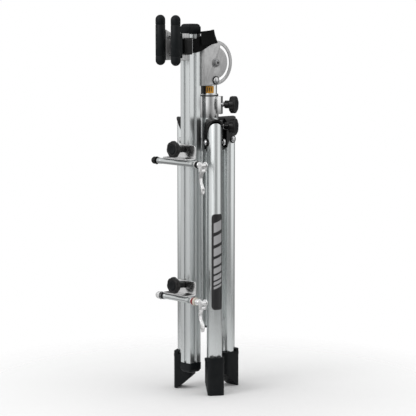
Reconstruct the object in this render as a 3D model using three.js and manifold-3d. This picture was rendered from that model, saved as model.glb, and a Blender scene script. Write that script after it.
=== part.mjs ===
// Folding bike repair stand, shown folded for storage.
// Millimetres, +Z up. The origin lies on the mast axis, on the floor under the feet.
// +X points away from the bike rail, and the quick-release levers are on the -Y side.
import * as THREE from 'three';
import { mergeVertices } from 'three/addons/utils/BufferGeometryUtils.js';
import Module from 'manifold-3d';

const wasm = await Module();
wasm.setup();

// ---- driving dimensions ----
const GAP = 0.3; // clearance between touching pieces
const ROUND = 24; // sides of a large round piece
const SMALL_ROUND = 12; // sides of a small round piece
const TINY_ROUND = 10; // sides of a bolt or a bore

const LEG_ANGLES = [0, 120, 240];
const LEG_OFFSET = 63; // mast axis to leg axis
const LEG_RADIUS = 19;
const LEG_WALL = 1.8;
const LEG_PIVOT_Z = 630;
const LEG_TOP_Z = 678;
const LEG_SPREAD = 41; // opening angle, degrees
const LEG_FOOT_Z = 39; // lower end of the tube inside the boot

const FOOT_OUTER = 25; // leg axis to outer wall of the boot
const FOOT_INNER = 23;
const FOOT_HALF_WIDTH = 20.8;
const FOOT_CORNER = 9;
const FOOT_TOP_Z = 88;
const FOOT_TONGUE_Z = 95;
const FOOT_LAND = 9; // flat strip at the outer tip

const HUB_BOTTOM_Z = 604;
const HUB_TOP_Z = 687;
const SLEEVE_RADIUS = 24;
const WEB_HALF_WIDTH = 12;
const HOOD_RADIUS = 21;
const HOOD_CEILING_Z = 683;
const HOOD_ARCH_Z = 663; // centre of the arched roof
const PIVOT_LOBE_RADIUS = 9.5;
const LEG_STOP_OFFSET = 45.2; // mast axis to the face that stops an open leg
const LEG_CLEAR_OFFSET = 42.8;
const PIVOT_BOLT_RADIUS = 4;

const OUTER_MAST_RADIUS = 22.5;
const OUTER_MAST_WALL = 1.6;
const OUTER_MAST_BOTTOM_Z = 165;
const OUTER_MAST_TOP_Z = 725;
const INNER_MAST_RADIUS = 20;
const INNER_MAST_WALL = 1.8;
const INNER_MAST_BOTTOM_Z = 330;
const INNER_MAST_TOP_Z = 855;

const COLLAR_TOP_Z = 740;
const BOSS_REACH = 35;
const KNOB_ANGLE = 300;
const MAST_KNOB_Z = 720;
const HUB_KNOB_Z = 665;
const KNOB_SCREW_RADIUS = 4;

const TILT_Z = 823;
const SECTOR_RADIUS = 55;
const SECTOR_INNER_Y = 22;
const PLATE = 3; // sheet thickness
const SECTOR_WEB_X = -42;
const SLOT_RADIUS = 43;
const SLOT_HALF_WIDTH = 4;
const SLOT_START = -98;
const SLOT_END = 65;
const TILT_BOLT_RADIUS = 5;
const CLAMP_BOLT_RADIUS = 3.6;

const RAIL_NEAR_X = -42.3; // face towards the mast
const RAIL_FAR_X = -80.6; // face that carries the bike
const RAIL_HALF_WIDTH = 17;
const RAIL_BOTTOM_Z = 70;
const RAIL_TOP_Z = 902;
const CAP_HEIGHT = 18;
const CAP_CROWN = 3;
const T_SLOT_HALF = 4;
const T_SLOT_LIP = 2.6;
const T_SLOT_DEPTH = 8;
const T_SLOT_UNDERCUT = 7;
const T_NUT_HALF = 5.4;
const T_NUT_DEPTH = 5.6;

const PAD_RADIUS = 12;
const PAD_X = -135;
const PAD_Y = 28;
const PAD_BOTTOM_Z = 820;
const PAD_TOP_Z = 943;
const ARM_FRONT_X = -126;
const ARM_BOTTOM_Z = 832;
const ARM_TOP_Z = 897;
const ARM_FRONT_TOP_Z = 907;
const ARM_BEND_X = -106;
const PAD_BOLT_X = -118;
const PAD_BOLT_ZS = [844, 889];
const STRAP_BOTTOM_Z = 849;
const STRAP_TOP_Z = 884;
const STRAP_THICKNESS = 1.8;

const CARRIAGES = [
  { name: 'upper', axleZ: 581.5, halfWidth: 65 },
  { name: 'lower', axleZ: 244, halfWidth: 50 },
];
const SCREW_RADIUS = 3; // screws and bolts of the brackets
const T_BOLT_RADIUS = 3.6;
const AXLE_X = -110;
const AXLE_RADIUS = 7.5;
const CARRIAGE_KNOB_RISE = 32.5; // knob axis above the axle
const CARRIAGE_PLATE_X = -84;
const CARRIAGE_HALF_WIDTH = 45;
const CARRIAGE_TOP_RISE = 43;
const SHELF_RISE = 7.8; // underside of the shelf above the axle
const SKEWER_RADIUS = 2.5;
const DROPOUT_ROOM = 9; // axle tube to cam body
const NUT_ROOM = 5; // axle tube to nut
const NUT_LENGTH = 15;
const NUT_THREAD = 11; // length of skewer inside the nut
const CAM_Y = -98; // pin of the cam lever
const CAM_RADIUS = 6;
const EYE_RADIUS = 8;
const EYE_INNER = 6.4;
const EYE_OUTER = 9.6;
const LEVER_HALF = 5.5;
const LEVER_LENGTH = 72;

// ---- geometry helpers ----
const radians = THREE.MathUtils.degToRad;

function solidOf(geometry) {
  const bare = geometry.clone();
  bare.deleteAttribute('normal');
  bare.deleteAttribute('uv');
  const merged = mergeVertices(bare, 1e-4);
  const corners = merged.getIndex().array;
  const triVerts = [];
  for (let i = 0; i < corners.length; i += 3) {
    const [a, b, c] = [corners[i], corners[i + 1], corners[i + 2]];
    if (a !== b && b !== c && c !== a) triVerts.push(a, b, c);
  }
  return new wasm.Manifold(new wasm.Mesh({
    numProp: 3,
    vertProperties: new Float32Array(merged.getAttribute('position').array),
    triVerts: new Uint32Array(triVerts),
  }));
}

function geometryOf(solid) {
  const mesh = solid.getMesh();
  const geometry = new THREE.BufferGeometry();
  geometry.setAttribute('position', new THREE.BufferAttribute(mesh.vertProperties, 3));
  geometry.setIndex(new THREE.BufferAttribute(mesh.triVerts, 1));
  return geometry;
}

function join(...pieces) {
  return geometryOf(pieces.map(solidOf).reduce((whole, piece) => whole.add(piece)));
}

function cut(base, ...tools) {
  return geometryOf(tools.map(solidOf).reduce((rest, tool) => rest.subtract(tool), solidOf(base)));
}

// A solid of revolution about Z. The profile is [radius, z] pairs, anticlockwise.
function turned(profile, sides = ROUND) {
  const points = profile.map(([r, z]) => new THREE.Vector2(r, z));
  return new THREE.LatheGeometry(points, sides).rotateX(Math.PI / 2);
}

function rod(radius, z0, z1, sides = SMALL_ROUND) {
  return turned([[0, z0], [radius, z0], [radius, z1], [0, z1]], sides);
}

function ring(outer, inner, z0, z1, sides = ROUND) {
  return turned([[inner, z0], [outer, z0], [outer, z1], [inner, z1], [inner, z0]], sides);
}

function block(x0, x1, y0, y1, z0, z1) {
  const box = new THREE.BoxGeometry(x1 - x0, y1 - y0, z1 - z0);
  return box.translate((x0 + x1) / 2, (y0 + y1) / 2, (z0 + z1) / 2);
}

function outline(points) {
  return new THREE.Shape(points.map(([u, v]) => new THREE.Vector2(u, v)));
}

function extruded(shape, z0, z1, curveSegments = 6) {
  const options = { depth: z1 - z0, bevelEnabled: false, curveSegments };
  return new THREE.ExtrudeGeometry(shape, options).translate(0, 0, z0);
}

// A plate whose outline is drawn in X and Z, from y0 to y1.
function uprightPlate(shape, y0, y1, curveSegments = 6) {
  const options = { depth: y1 - y0, bevelEnabled: false, curveSegments };
  return new THREE.ExtrudeGeometry(shape, options).rotateX(Math.PI / 2).translate(0, y1, 0);
}

// A plate whose outline is drawn in Y and Z, from x0 to x1.
function crossPlate(shape, x0, x1, curveSegments) {
  return extruded(shape, x0, x1, curveSegments).rotateX(Math.PI / 2).rotateZ(Math.PI / 2);
}

function alongX(geometry) {
  return geometry.rotateY(Math.PI / 2);
}

function alongY(geometry) {
  return geometry.rotateX(-Math.PI / 2);
}

function roundedRectangle(x0, x1, y0, y1, radius) {
  const shape = new THREE.Shape();
  shape.moveTo(x0 + radius, y0);
  shape.lineTo(x1 - radius, y0);
  shape.absarc(x1 - radius, y0 + radius, radius, -Math.PI / 2, 0);
  shape.lineTo(x1, y1 - radius);
  shape.absarc(x1 - radius, y1 - radius, radius, 0, Math.PI / 2);
  shape.lineTo(x0 + radius, y1);
  shape.absarc(x0 + radius, y1 - radius, radius, Math.PI / 2, Math.PI);
  shape.lineTo(x0, y0 + radius);
  shape.absarc(x0 + radius, y0 + radius, radius, Math.PI, 1.5 * Math.PI);
  return shape;
}

// ---- scene helpers ----
const stand = new THREE.Group();

const FINISHES = {
  satin: [0xc4c6c8, 0.35, 1],
  polished: [0xd5d6d8, 0.16, 1],
  brushed: [0x9fa2a5, 0.4, 1],
  zinc: [0xb4b9c0, 0.3, 1],
  blackPlastic: [0x161616, 0.45, 0],
  rubber: [0x1b1b1c, 0.75, 0],
  webbing: [0x111112, 0.85, 0],
};

function add(name, finish, geometry, parent = stand) {
  const [color, roughness, metalness] = FINISHES[finish];
  const material = new THREE.MeshStandardMaterial({ color, roughness, metalness });
  const mesh = new THREE.Mesh(geometry, material);
  mesh.name = name;
  parent.add(mesh);
}

function groupAt(angle) {
  const group = new THREE.Group();
  group.rotation.z = radians(angle);
  stand.add(group);
  return group;
}

// ---- legs: in each leg's group, +X points away from the mast ----
function legPivotBore() {
  return alongY(rod(PIVOT_BOLT_RADIUS + GAP, -30, 30, TINY_ROUND)).translate(LEG_OFFSET, 0, LEG_PIVOT_Z);
}

function legTube() {
  const tube = ring(LEG_RADIUS, LEG_RADIUS - LEG_WALL, LEG_FOOT_Z, LEG_TOP_Z).translate(LEG_OFFSET, 0, 0);
  // The top is cut so that its face stands upright against the hub when the leg is open.
  const slope = 1 / Math.tan(radians(LEG_SPREAD));
  const outerX = LEG_OFFSET + LEG_RADIUS;
  const reach = 2 * LEG_RADIUS + 10;
  const topCut = uprightPlate(outline([
    [outerX, LEG_TOP_Z],
    [outerX, LEG_TOP_Z + 10],
    [outerX - reach, LEG_TOP_Z + 10],
    [outerX - reach, LEG_TOP_Z - reach * slope],
  ]), -LEG_RADIUS - 1, LEG_RADIUS + 1);
  return cut(tube, topCut, legPivotBore());
}

function boot() {
  const inner = LEG_OFFSET - FOOT_INNER;
  const outer = LEG_OFFSET + FOOT_OUTER;
  const footprint = roundedRectangle(inner, outer, -FOOT_HALF_WIDTH, FOOT_HALF_WIDTH, FOOT_CORNER);
  const body = extruded(footprint, 0, FOOT_TONGUE_Z, 4);
  // The sole rises inwards, so that it lies flat on the floor when the leg is open.
  const rise = Math.tan(radians(LEG_SPREAD));
  const landX = outer - FOOT_LAND;
  const run = landX - inner + 5;
  const sole = uprightPlate(outline([
    [landX, 0],
    [landX - run, run * rise],
    [landX - run, -5],
    [landX, -5],
  ]), -30, 30);
  const socket = rod(LEG_RADIUS + GAP, LEG_FOOT_Z - GAP, FOOT_TONGUE_Z + 5, ROUND)
    .translate(LEG_OFFSET, 0, 0);
  const rimStep = block(inner - 5, LEG_OFFSET + 12, -30, 30, FOOT_TOP_Z, FOOT_TONGUE_Z + 5);
  return cut(body, sole, socket, rimStep);
}

function legPivotBolt() {
  const cheek = HOOD_RADIUS + GAP;
  const shank = rod(PIVOT_BOLT_RADIUS, -cheek - 6, cheek + 6, TINY_ROUND);
  const head = turned([
    [0, -cheek - 5], [5, -cheek - 5], [7.5, -cheek - 2], [7.5, -cheek], [0, -cheek],
  ], SMALL_ROUND);
  const nut = rod(7.5, cheek, cheek + 5, 6);
  return alongY(join(shank, head, nut)).translate(LEG_OFFSET, 0, LEG_PIVOT_Z);
}

LEG_ANGLES.forEach((angle, index) => {
  const legFrame = groupAt(angle);
  add(`leg_tube_${index + 1}`, 'satin', legTube(), legFrame);
  add(`foot_${index + 1}`, 'rubber', boot(), legFrame);
  add(`leg_pivot_bolt_${index + 1}`, 'zinc', legPivotBolt(), legFrame);
});

// ---- hub: an aluminium sleeve with a black hood over the top of each leg ----
// Everything above an arch of that radius, which runs along X.
function aboveArch(radius) {
  const shape = new THREE.Shape();
  shape.moveTo(-30, HOOD_ARCH_Z);
  shape.lineTo(-radius, HOOD_ARCH_Z);
  shape.absarc(0, HOOD_ARCH_Z, radius, Math.PI, 0, true);
  shape.lineTo(30, HOOD_ARCH_Z);
  shape.lineTo(30, HUB_TOP_Z + 10);
  shape.lineTo(-30, HUB_TOP_Z + 10);
  return crossPlate(shape, 0, 120, 10);
}

function hoodShell() {
  const shell = join(
    rod(HOOD_RADIUS, HUB_BOTTOM_Z, HUB_TOP_Z, ROUND).translate(LEG_OFFSET, 0, 0),
    block(LEG_STOP_OFFSET - 4, LEG_OFFSET, -HOOD_RADIUS, HOOD_RADIUS, HUB_BOTTOM_Z, HUB_TOP_Z),
    block(SLEEVE_RADIUS - 5, LEG_STOP_OFFSET, -WEB_HALF_WIDTH, WEB_HALF_WIDTH, HUB_BOTTOM_Z, HUB_TOP_Z),
  );
  // The mouth slants from the tip of the roof down to the pivot.
  const roofX = LEG_OFFSET + LEG_RADIUS;
  const lobeX = LEG_OFFSET - 3;
  const mouth = uprightPlate(outline([
    [roofX, HOOD_CEILING_Z],
    [roofX + 20, HOOD_CEILING_Z],
    [roofX + 20, HUB_BOTTOM_Z - 5],
    [lobeX - 26, HUB_BOTTOM_Z - 5],
    [lobeX, LEG_PIVOT_Z + 12],
  ]), -30, 30);
  const tip = block(roofX, roofX + 20, -30, 30, HUB_BOTTOM_Z, HUB_TOP_Z + 5);
  const lobe = alongY(rod(PIVOT_LOBE_RADIUS, -HOOD_RADIUS, HOOD_RADIUS))
    .translate(LEG_OFFSET, 0, LEG_PIVOT_Z);
  return join(cut(shell, mouth, tip, aboveArch(HUB_TOP_Z - HOOD_ARCH_Z)), lobe);
}

function hoodRoom() {
  const half = LEG_RADIUS + 2 * GAP;
  const legRoom = join(
    rod(half, HUB_BOTTOM_Z - 10, HOOD_CEILING_Z + 1, ROUND).translate(LEG_OFFSET, 0, 0),
    block(LEG_STOP_OFFSET, LEG_OFFSET, -half, half, HUB_BOTTOM_Z - 10, HOOD_CEILING_Z + 1),
  );
  return [
    cut(legRoom, aboveArch(HOOD_CEILING_Z - HOOD_ARCH_Z)),
    block(LEG_CLEAR_OFFSET, LEG_OFFSET, -half, half, HUB_BOTTOM_Z - 10, LEG_PIVOT_Z + 15),
    block(LEG_OFFSET, LEG_OFFSET + half, -half, half, HUB_BOTTOM_Z - 10, LEG_PIVOT_Z + 15),
    legPivotBore(),
    rod(SLEEVE_RADIUS + GAP, HUB_BOTTOM_Z - 5, HUB_TOP_Z + 5, ROUND),
  ];
}

LEG_ANGLES.forEach((angle, index) => {
  add(`leg_hood_${index + 1}`, 'blackPlastic', cut(hoodShell(), ...hoodRoom()), groupAt(angle));
});

// A clamp sleeve round the outer mast tube, with a boss for its knob screw.
function clampSleeve(z0, z1, bossZ0, bossZ1, screwZ) {
  const rootX = SLEEVE_RADIUS - 0.8;
  const neckX = SLEEVE_RADIUS + 5.4;
  const bossOutline = outline([
    [rootX, -6], [neckX, -6], [neckX, -9], [BOSS_REACH, -9],
    [BOSS_REACH, 9], [neckX, 9], [neckX, 6], [rootX, 6],
  ]);
  const boss = extruded(bossOutline, bossZ0, bossZ1).rotateZ(radians(KNOB_ANGLE));
  // A small turn keeps the bore's corners off the sleeve's edges.
  const bore = rod(KNOB_SCREW_RADIUS + GAP, SLEEVE_RADIUS - 5, BOSS_REACH + 5, TINY_ROUND);
  const screwBore = alongX(bore.rotateZ(radians(7)));
  return cut(
    join(rod(SLEEVE_RADIUS, z0, z1, ROUND), boss),
    rod(OUTER_MAST_RADIUS + GAP, z0 - 5, z1 + 5, ROUND),
    screwBore.translate(0, 0, screwZ).rotateZ(radians(KNOB_ANGLE)),
  );
}

add('hub_sleeve', 'satin', clampSleeve(
  HUB_BOTTOM_Z, HUB_TOP_Z, HUB_KNOB_Z - 15, HUB_KNOB_Z + 15, HUB_KNOB_Z,
));

// ---- telescopic mast ----
add('outer_mast_tube', 'satin', ring(
  OUTER_MAST_RADIUS, OUTER_MAST_RADIUS - OUTER_MAST_WALL, OUTER_MAST_BOTTOM_Z, OUTER_MAST_TOP_Z,
));
const plugRadius = OUTER_MAST_RADIUS - OUTER_MAST_WALL - GAP;
add('outer_mast_plug', 'blackPlastic', turned([
  [0, OUTER_MAST_BOTTOM_Z - 6],
  [OUTER_MAST_RADIUS, OUTER_MAST_BOTTOM_Z - 6],
  [OUTER_MAST_RADIUS, OUTER_MAST_BOTTOM_Z - GAP],
  [plugRadius, OUTER_MAST_BOTTOM_Z - GAP],
  [plugRadius, OUTER_MAST_BOTTOM_Z + 20],
  [0, OUTER_MAST_BOTTOM_Z + 20],
]));
add('mast_collar', 'polished', clampSleeve(
  HUB_TOP_Z + GAP, COLLAR_TOP_Z, COLLAR_TOP_Z - 44, COLLAR_TOP_Z, MAST_KNOB_Z,
));

const bushTop = COLLAR_TOP_Z + 2.5;
add('mast_bush', 'blackPlastic', turned([
  [INNER_MAST_RADIUS + GAP, OUTER_MAST_TOP_Z + GAP],
  [OUTER_MAST_RADIUS, OUTER_MAST_TOP_Z + GAP],
  [OUTER_MAST_RADIUS, COLLAR_TOP_Z + GAP],
  [SLEEVE_RADIUS - 0.5, COLLAR_TOP_Z + GAP],
  [SLEEVE_RADIUS - 0.5, bushTop],
  [INNER_MAST_RADIUS + GAP, bushTop],
  [INNER_MAST_RADIUS + GAP, OUTER_MAST_TOP_Z + GAP],
]));
add('mast_stop_ring', 'polished', ring(
  INNER_MAST_RADIUS + 3.5, INNER_MAST_RADIUS + GAP, bushTop + GAP, bushTop + 3,
));
add('inner_mast_tube', 'satin', cut(
  ring(INNER_MAST_RADIUS, INNER_MAST_RADIUS - INNER_MAST_WALL, INNER_MAST_BOTTOM_Z, INNER_MAST_TOP_Z),
  alongY(rod(TILT_BOLT_RADIUS + GAP, -30, 30, TINY_ROUND)).translate(0, 0, TILT_Z),
  alongY(rod(CLAMP_BOLT_RADIUS + GAP, -30, 30, TINY_ROUND)).translate(0, 0, TILT_Z - SLOT_RADIUS),
));
add('inner_mast_plug', 'blackPlastic', rod(
  INNER_MAST_RADIUS - INNER_MAST_WALL - GAP, INNER_MAST_TOP_Z - 14, INNER_MAST_TOP_Z, ROUND,
));

// ---- clamp knobs of the collar and the hub ----
function clampKnob() {
  return turned([
    [0, 44.5], [6, 41.5], [9.7, 41.5], [9.7, 54], [15, 56.5], [21.5, 57.5], [21.5, 69], [17, 72], [0, 72],
  ]);
}

function knobScrew() {
  return turned([
    [0, 23.2], [KNOB_SCREW_RADIUS, 23.2], [KNOB_SCREW_RADIUS, 35.3], [6.5, 35.3], [6.5, 38.8], [0, 41.2],
  ], TINY_ROUND);
}

[['mast', MAST_KNOB_Z], ['hub', HUB_KNOB_Z]].forEach(([name, z]) => {
  const knobFrame = groupAt(KNOB_ANGLE);
  add(`${name}_clamp_knob`, 'blackPlastic', alongX(clampKnob()).translate(0, 0, z), knobFrame);
  add(`${name}_clamp_screw`, 'zinc', alongX(knobScrew()).translate(0, 0, z), knobFrame);
});

// ---- tilt head ----
function sectorOutline() {
  const shape = new THREE.Shape();
  const back = SECTOR_WEB_X + PLATE / 2;
  shape.moveTo(back, TILT_Z - SECTOR_RADIUS);
  shape.lineTo(0, TILT_Z - SECTOR_RADIUS);
  shape.absarc(0, TILT_Z, SECTOR_RADIUS, -Math.PI / 2, Math.PI / 2);
  shape.lineTo(back, TILT_Z + SECTOR_RADIUS);
  const slot = new THREE.Path();
  const [start, end] = [radians(SLOT_START), radians(SLOT_END)];
  slot.absarc(0, TILT_Z, SLOT_RADIUS + SLOT_HALF_WIDTH, start, end);
  slot.absarc(0, TILT_Z, SLOT_RADIUS - SLOT_HALF_WIDTH, end, start, true);
  shape.holes.push(slot);
  return shape;
}

function sectorPlate(y0) {
  const bore = alongY(rod(TILT_BOLT_RADIUS + GAP, -60, 60, TINY_ROUND)).translate(0, 0, TILT_Z);
  return cut(uprightPlate(sectorOutline(), y0, y0 + PLATE, 10), bore);
}

const sectorOuterY = SECTOR_INNER_Y + PLATE;
const sectorScrewZs = [TILT_Z - 34, TILT_Z + 34];
add('sector_bracket', 'brushed', cut(
  join(
    sectorPlate(SECTOR_INNER_Y),
    sectorPlate(-sectorOuterY),
    block(SECTOR_WEB_X, SECTOR_WEB_X + PLATE, -sectorOuterY, sectorOuterY,
      TILT_Z - SECTOR_RADIUS, TILT_Z + SECTOR_RADIUS),
  ),
  ...sectorScrewZs.map((z) => alongX(rod(SCREW_RADIUS + GAP, -60, -30, TINY_ROUND)).translate(0, 0, z)),
));
sectorScrewZs.forEach((z, index) => {
  const shankEnd = RAIL_NEAR_X - T_NUT_DEPTH;
  const headX = SECTOR_WEB_X + PLATE + GAP;
  const screw = join(
    alongX(rod(SCREW_RADIUS, shankEnd, headX + 1, TINY_ROUND)),
    alongX(rod(5, headX, headX + 3, TINY_ROUND)),
    block(shankEnd, RAIL_NEAR_X - T_SLOT_LIP - GAP, -T_NUT_HALF, T_NUT_HALF, -7, 7),
  );
  add(`sector_screw_${index + 1}`, 'zinc', screw.translate(0, 0, z));
});

const washerY = sectorOuterY + GAP;
add('tilt_pivot_bolt', 'zinc', alongY(join(
  rod(TILT_BOLT_RADIUS, -washerY - 3, washerY + 3, TINY_ROUND),
  rod(11, -washerY - 1.6, -washerY),
  rod(8.5, -washerY - 7, -washerY - 1, 6),
  rod(11, washerY, washerY + 1.6),
  rod(8.5, washerY + 1, washerY + 8, 6),
)).translate(0, 0, TILT_Z));
add('tilt_clamp_bolt', 'zinc', alongY(join(
  rod(CLAMP_BOLT_RADIUS, -washerY - 2, washerY + 22, TINY_ROUND),
  turned([
    [0, -washerY - 5.5], [5, -washerY - 5], [8.6, -washerY - 3],
    [10, -washerY - 1.4], [10, -washerY], [0, -washerY],
  ]),
)).translate(0, 0, TILT_Z - SLOT_RADIUS));
add('tilt_lock_knob', 'blackPlastic', cut(
  alongY(turned([
    [0, washerY], [9.5, washerY], [9.5, washerY + 12], [20, washerY + 15], [20, washerY + 26],
    [16, washerY + 29], [0, washerY + 29],
  ])),
  alongY(rod(CLAMP_BOLT_RADIUS + GAP, washerY - 2, washerY + 23, TINY_ROUND)),
).translate(0, 0, TILT_Z - SLOT_RADIUS));

// ---- rail ----
const railMidX = (RAIL_NEAR_X + RAIL_FAR_X) / 2;
const railHalfDepth = (RAIL_NEAR_X - RAIL_FAR_X) / 2;

function railGroove(faceOffset) {
  const floor = faceOffset - T_SLOT_DEPTH;
  const lip = faceOffset - T_SLOT_LIP;
  return extruded(outline([
    [floor, -T_SLOT_UNDERCUT + 3],
    [lip - 2, -T_SLOT_UNDERCUT],
    [lip, -T_SLOT_UNDERCUT],
    [lip, -T_SLOT_HALF],
    [faceOffset + 1, -T_SLOT_HALF],
    [faceOffset + 1, T_SLOT_HALF],
    [lip, T_SLOT_HALF],
    [lip, T_SLOT_UNDERCUT],
    [lip - 2, T_SLOT_UNDERCUT],
    [floor, T_SLOT_UNDERCUT - 3],
  ]), RAIL_BOTTOM_Z - 5, RAIL_TOP_Z + 5);
}

function railBody() {
  const body = extruded(
    roundedRectangle(-railHalfDepth, railHalfDepth, -RAIL_HALF_WIDTH, RAIL_HALF_WIDTH, 2.5),
    RAIL_BOTTOM_Z, RAIL_TOP_Z, 3,
  );
  const grooves = [0, 90, 180, 270].map((angle) => {
    const face = angle % 180 === 0 ? railHalfDepth : RAIL_HALF_WIDTH;
    return railGroove(face).rotateZ(radians(angle));
  });
  const core = rod(4, RAIL_BOTTOM_Z - 5, RAIL_TOP_Z + 5, TINY_ROUND);
  return cut(body, core, ...grooves).translate(railMidX, 0, 0);
}
add('rail', 'satin', railBody());

// A rubber cap from z0 to z1, whose wide part runs from wideZ0 to wideZ1.
function railCap(z0, z1, wideZ0, wideZ1) {
  const inset = 2.2;
  const corner = 4;
  const wide = roundedRectangle(-railHalfDepth, railHalfDepth, -RAIL_HALF_WIDTH, RAIL_HALF_WIDTH, corner);
  const narrow = roundedRectangle(
    -railHalfDepth + inset, railHalfDepth - inset, -RAIL_HALF_WIDTH + inset, RAIL_HALF_WIDTH - inset, corner,
  );
  return join(extruded(wide, wideZ0, wideZ1, 3), extruded(narrow, z0, z1, 3)).translate(railMidX, 0, 0);
}
const capTopZ = RAIL_TOP_Z + CAP_HEIGHT;
const capBottomZ = RAIL_BOTTOM_Z - CAP_HEIGHT;
add('rail_top_cap', 'rubber', join(
  railCap(RAIL_TOP_Z + GAP, capTopZ, RAIL_TOP_Z + GAP, capTopZ - CAP_CROWN),
  rod(3.6, RAIL_TOP_Z - 14, RAIL_TOP_Z + 5, TINY_ROUND).translate(railMidX, 0, 0),
));
add('rail_bottom_cap', 'rubber', join(
  railCap(capBottomZ, RAIL_BOTTOM_Z - GAP, capBottomZ + CAP_CROWN, RAIL_BOTTOM_Z - GAP),
  rod(3.6, RAIL_BOTTOM_Z - 5, RAIL_BOTTOM_Z + 14, TINY_ROUND).translate(railMidX, 0, 0),
));

// ---- cradle for the bottom bracket ----
const cradleBaseX = RAIL_FAR_X - GAP;
const armInnerY = RAIL_HALF_WIDTH + GAP;
const armOuterY = armInnerY + PLATE;

function cradleArm(y0) {
  const arm = uprightPlate(outline([
    [cradleBaseX, ARM_BOTTOM_Z],
    [cradleBaseX, ARM_TOP_Z],
    [ARM_BEND_X, ARM_TOP_Z],
    [ARM_FRONT_X, ARM_FRONT_TOP_Z],
    [ARM_FRONT_X, ARM_BOTTOM_Z],
  ]), y0, y0 + PLATE);
  const bolts = PAD_BOLT_ZS.map((z) => (
    alongY(rod(SCREW_RADIUS + GAP, -60, 60, TINY_ROUND)).translate(PAD_BOLT_X, 0, z)
  ));
  const strapSlot = block(
    ARM_BEND_X - GAP, ARM_BEND_X + STRAP_THICKNESS + GAP, -60, 60, STRAP_BOTTOM_Z - 1, STRAP_TOP_Z + 1,
  );
  return cut(arm, ...bolts, strapSlot);
}

const cradleScrewZs = [ARM_BOTTOM_Z + 10, ARM_TOP_Z - 6];
add('cradle_bracket', 'polished', cut(
  join(
    cradleArm(armInnerY),
    cradleArm(-armOuterY),
    block(cradleBaseX - PLATE, cradleBaseX, -armOuterY, armOuterY, ARM_BOTTOM_Z, ARM_TOP_Z),
  ),
  ...cradleScrewZs.map((z) => alongX(rod(SCREW_RADIUS + GAP, -100, -60, TINY_ROUND)).translate(0, 0, z)),
));
cradleScrewZs.forEach((z, index) => {
  const headX = cradleBaseX - PLATE - GAP;
  const shankEnd = RAIL_FAR_X + T_NUT_DEPTH;
  const screw = join(
    alongX(rod(SCREW_RADIUS, headX - 1, shankEnd, TINY_ROUND)),
    alongX(rod(5, headX - 4, headX, TINY_ROUND)),
    block(RAIL_FAR_X + T_SLOT_LIP + GAP, shankEnd, -T_NUT_HALF, T_NUT_HALF, -7, 7),
  );
  add(`cradle_screw_${index + 1}`, 'zinc', screw.translate(0, 0, z));
});

function padCapsule(side) {
  const arc = [];
  for (let step = 0; step <= 4; step += 1) {
    const angle = radians(22.5 * step);
    arc.push([PAD_RADIUS * Math.sin(angle), PAD_RADIUS * (1 - Math.cos(angle))]);
  }
  const low = arc.map(([r, rise]) => [r, PAD_BOTTOM_Z + rise]);
  const high = arc.map(([r, rise]) => [r, PAD_TOP_Z - rise]).reverse();
  return turned([...low, ...high], SMALL_ROUND + 4).translate(PAD_X, side * PAD_Y, 0);
}

// The two ends of a span across the stand, on one side of its middle plane.
const span = (side, near, far) => [side * near, side * far].sort((a, b) => a - b);

[['near', -1], ['far', 1]].forEach(([name, side]) => {
  const lug = block(
    PAD_X + 6, ARM_FRONT_X + 15, ...span(side, armOuterY + GAP, PAD_Y - 1),
    ARM_BOTTOM_Z + 6, ARM_FRONT_TOP_Z - 8,
  );
  const armRoom = block(
    ARM_FRONT_X - GAP, ARM_FRONT_X + 20, ...span(side, armInnerY - GAP, armOuterY + GAP),
    ARM_BOTTOM_Z - GAP, ARM_FRONT_TOP_Z + GAP,
  );
  const bores = PAD_BOLT_ZS.map((z) => (
    alongY(rod(SCREW_RADIUS + GAP, ...span(side, armInnerY - 1, PAD_Y - 4), TINY_ROUND))
      .translate(PAD_BOLT_X, 0, z)
  ));
  add(`pad_${name}`, 'rubber', cut(join(padCapsule(side), lug), armRoom, ...bores));
  PAD_BOLT_ZS.forEach((z, index) => {
    const bolt = alongY(join(
      rod(SCREW_RADIUS, ...span(side, armInnerY - GAP - 1, PAD_Y - 5), TINY_ROUND),
      rod(5.2, ...span(side, armInnerY - GAP - 4, armInnerY - GAP), TINY_ROUND),
    ));
    add(`pad_bolt_${name}_${index + 1}`, 'zinc', bolt.translate(PAD_BOLT_X, 0, z));
  });
});

// The strap runs across between the arms, out through their slots and back along both sides.
const strapY = armOuterY + GAP;
const strapOutY = strapY + STRAP_THICKNESS;
const tailY = sectorOuterY + 1;
const crossX = ARM_BEND_X + STRAP_THICKNESS;
const sideRun = outline([
  [ARM_BEND_X, -strapOutY],
  [-78, -strapOutY],
  [-70, -tailY - STRAP_THICKNESS],
  [-62, -tailY - STRAP_THICKNESS],
  [-62, -tailY],
  [-69, -tailY],
  [-77, -strapY],
  [crossX, -strapY],
  [crossX, strapY],
  [-60, strapY],
  [-60, strapOutY],
  [ARM_BEND_X, strapOutY],
]);
const strapTail = outline([
  [-66, STRAP_BOTTOM_Z],
  [-48, 851],
  [-22, 864],
  [-3, 871],
  [2, 879],
  [-3, 899],
  [-14, 905],
  [-46, 901],
  [-56, 886],
  [-66, STRAP_TOP_Z],
]);
add('strap', 'webbing', join(
  extruded(sideRun, STRAP_BOTTOM_Z, STRAP_TOP_Z),
  uprightPlate(strapTail, -tailY - STRAP_THICKNESS, -tailY),
));
const buckleY = -strapOutY - GAP;
add('strap_buckle', 'blackPlastic', join(
  block(-104, -80, buckleY - 5, buckleY, STRAP_BOTTOM_Z - 3, STRAP_TOP_Z + 3),
  block(-100, -84, buckleY - 8, buckleY, STRAP_BOTTOM_Z, STRAP_TOP_Z),
));

// ---- axle carriages: built with the axle at Z = 0, then lifted ----
const plateFrontX = CARRIAGE_PLATE_X - PLATE;

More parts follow.
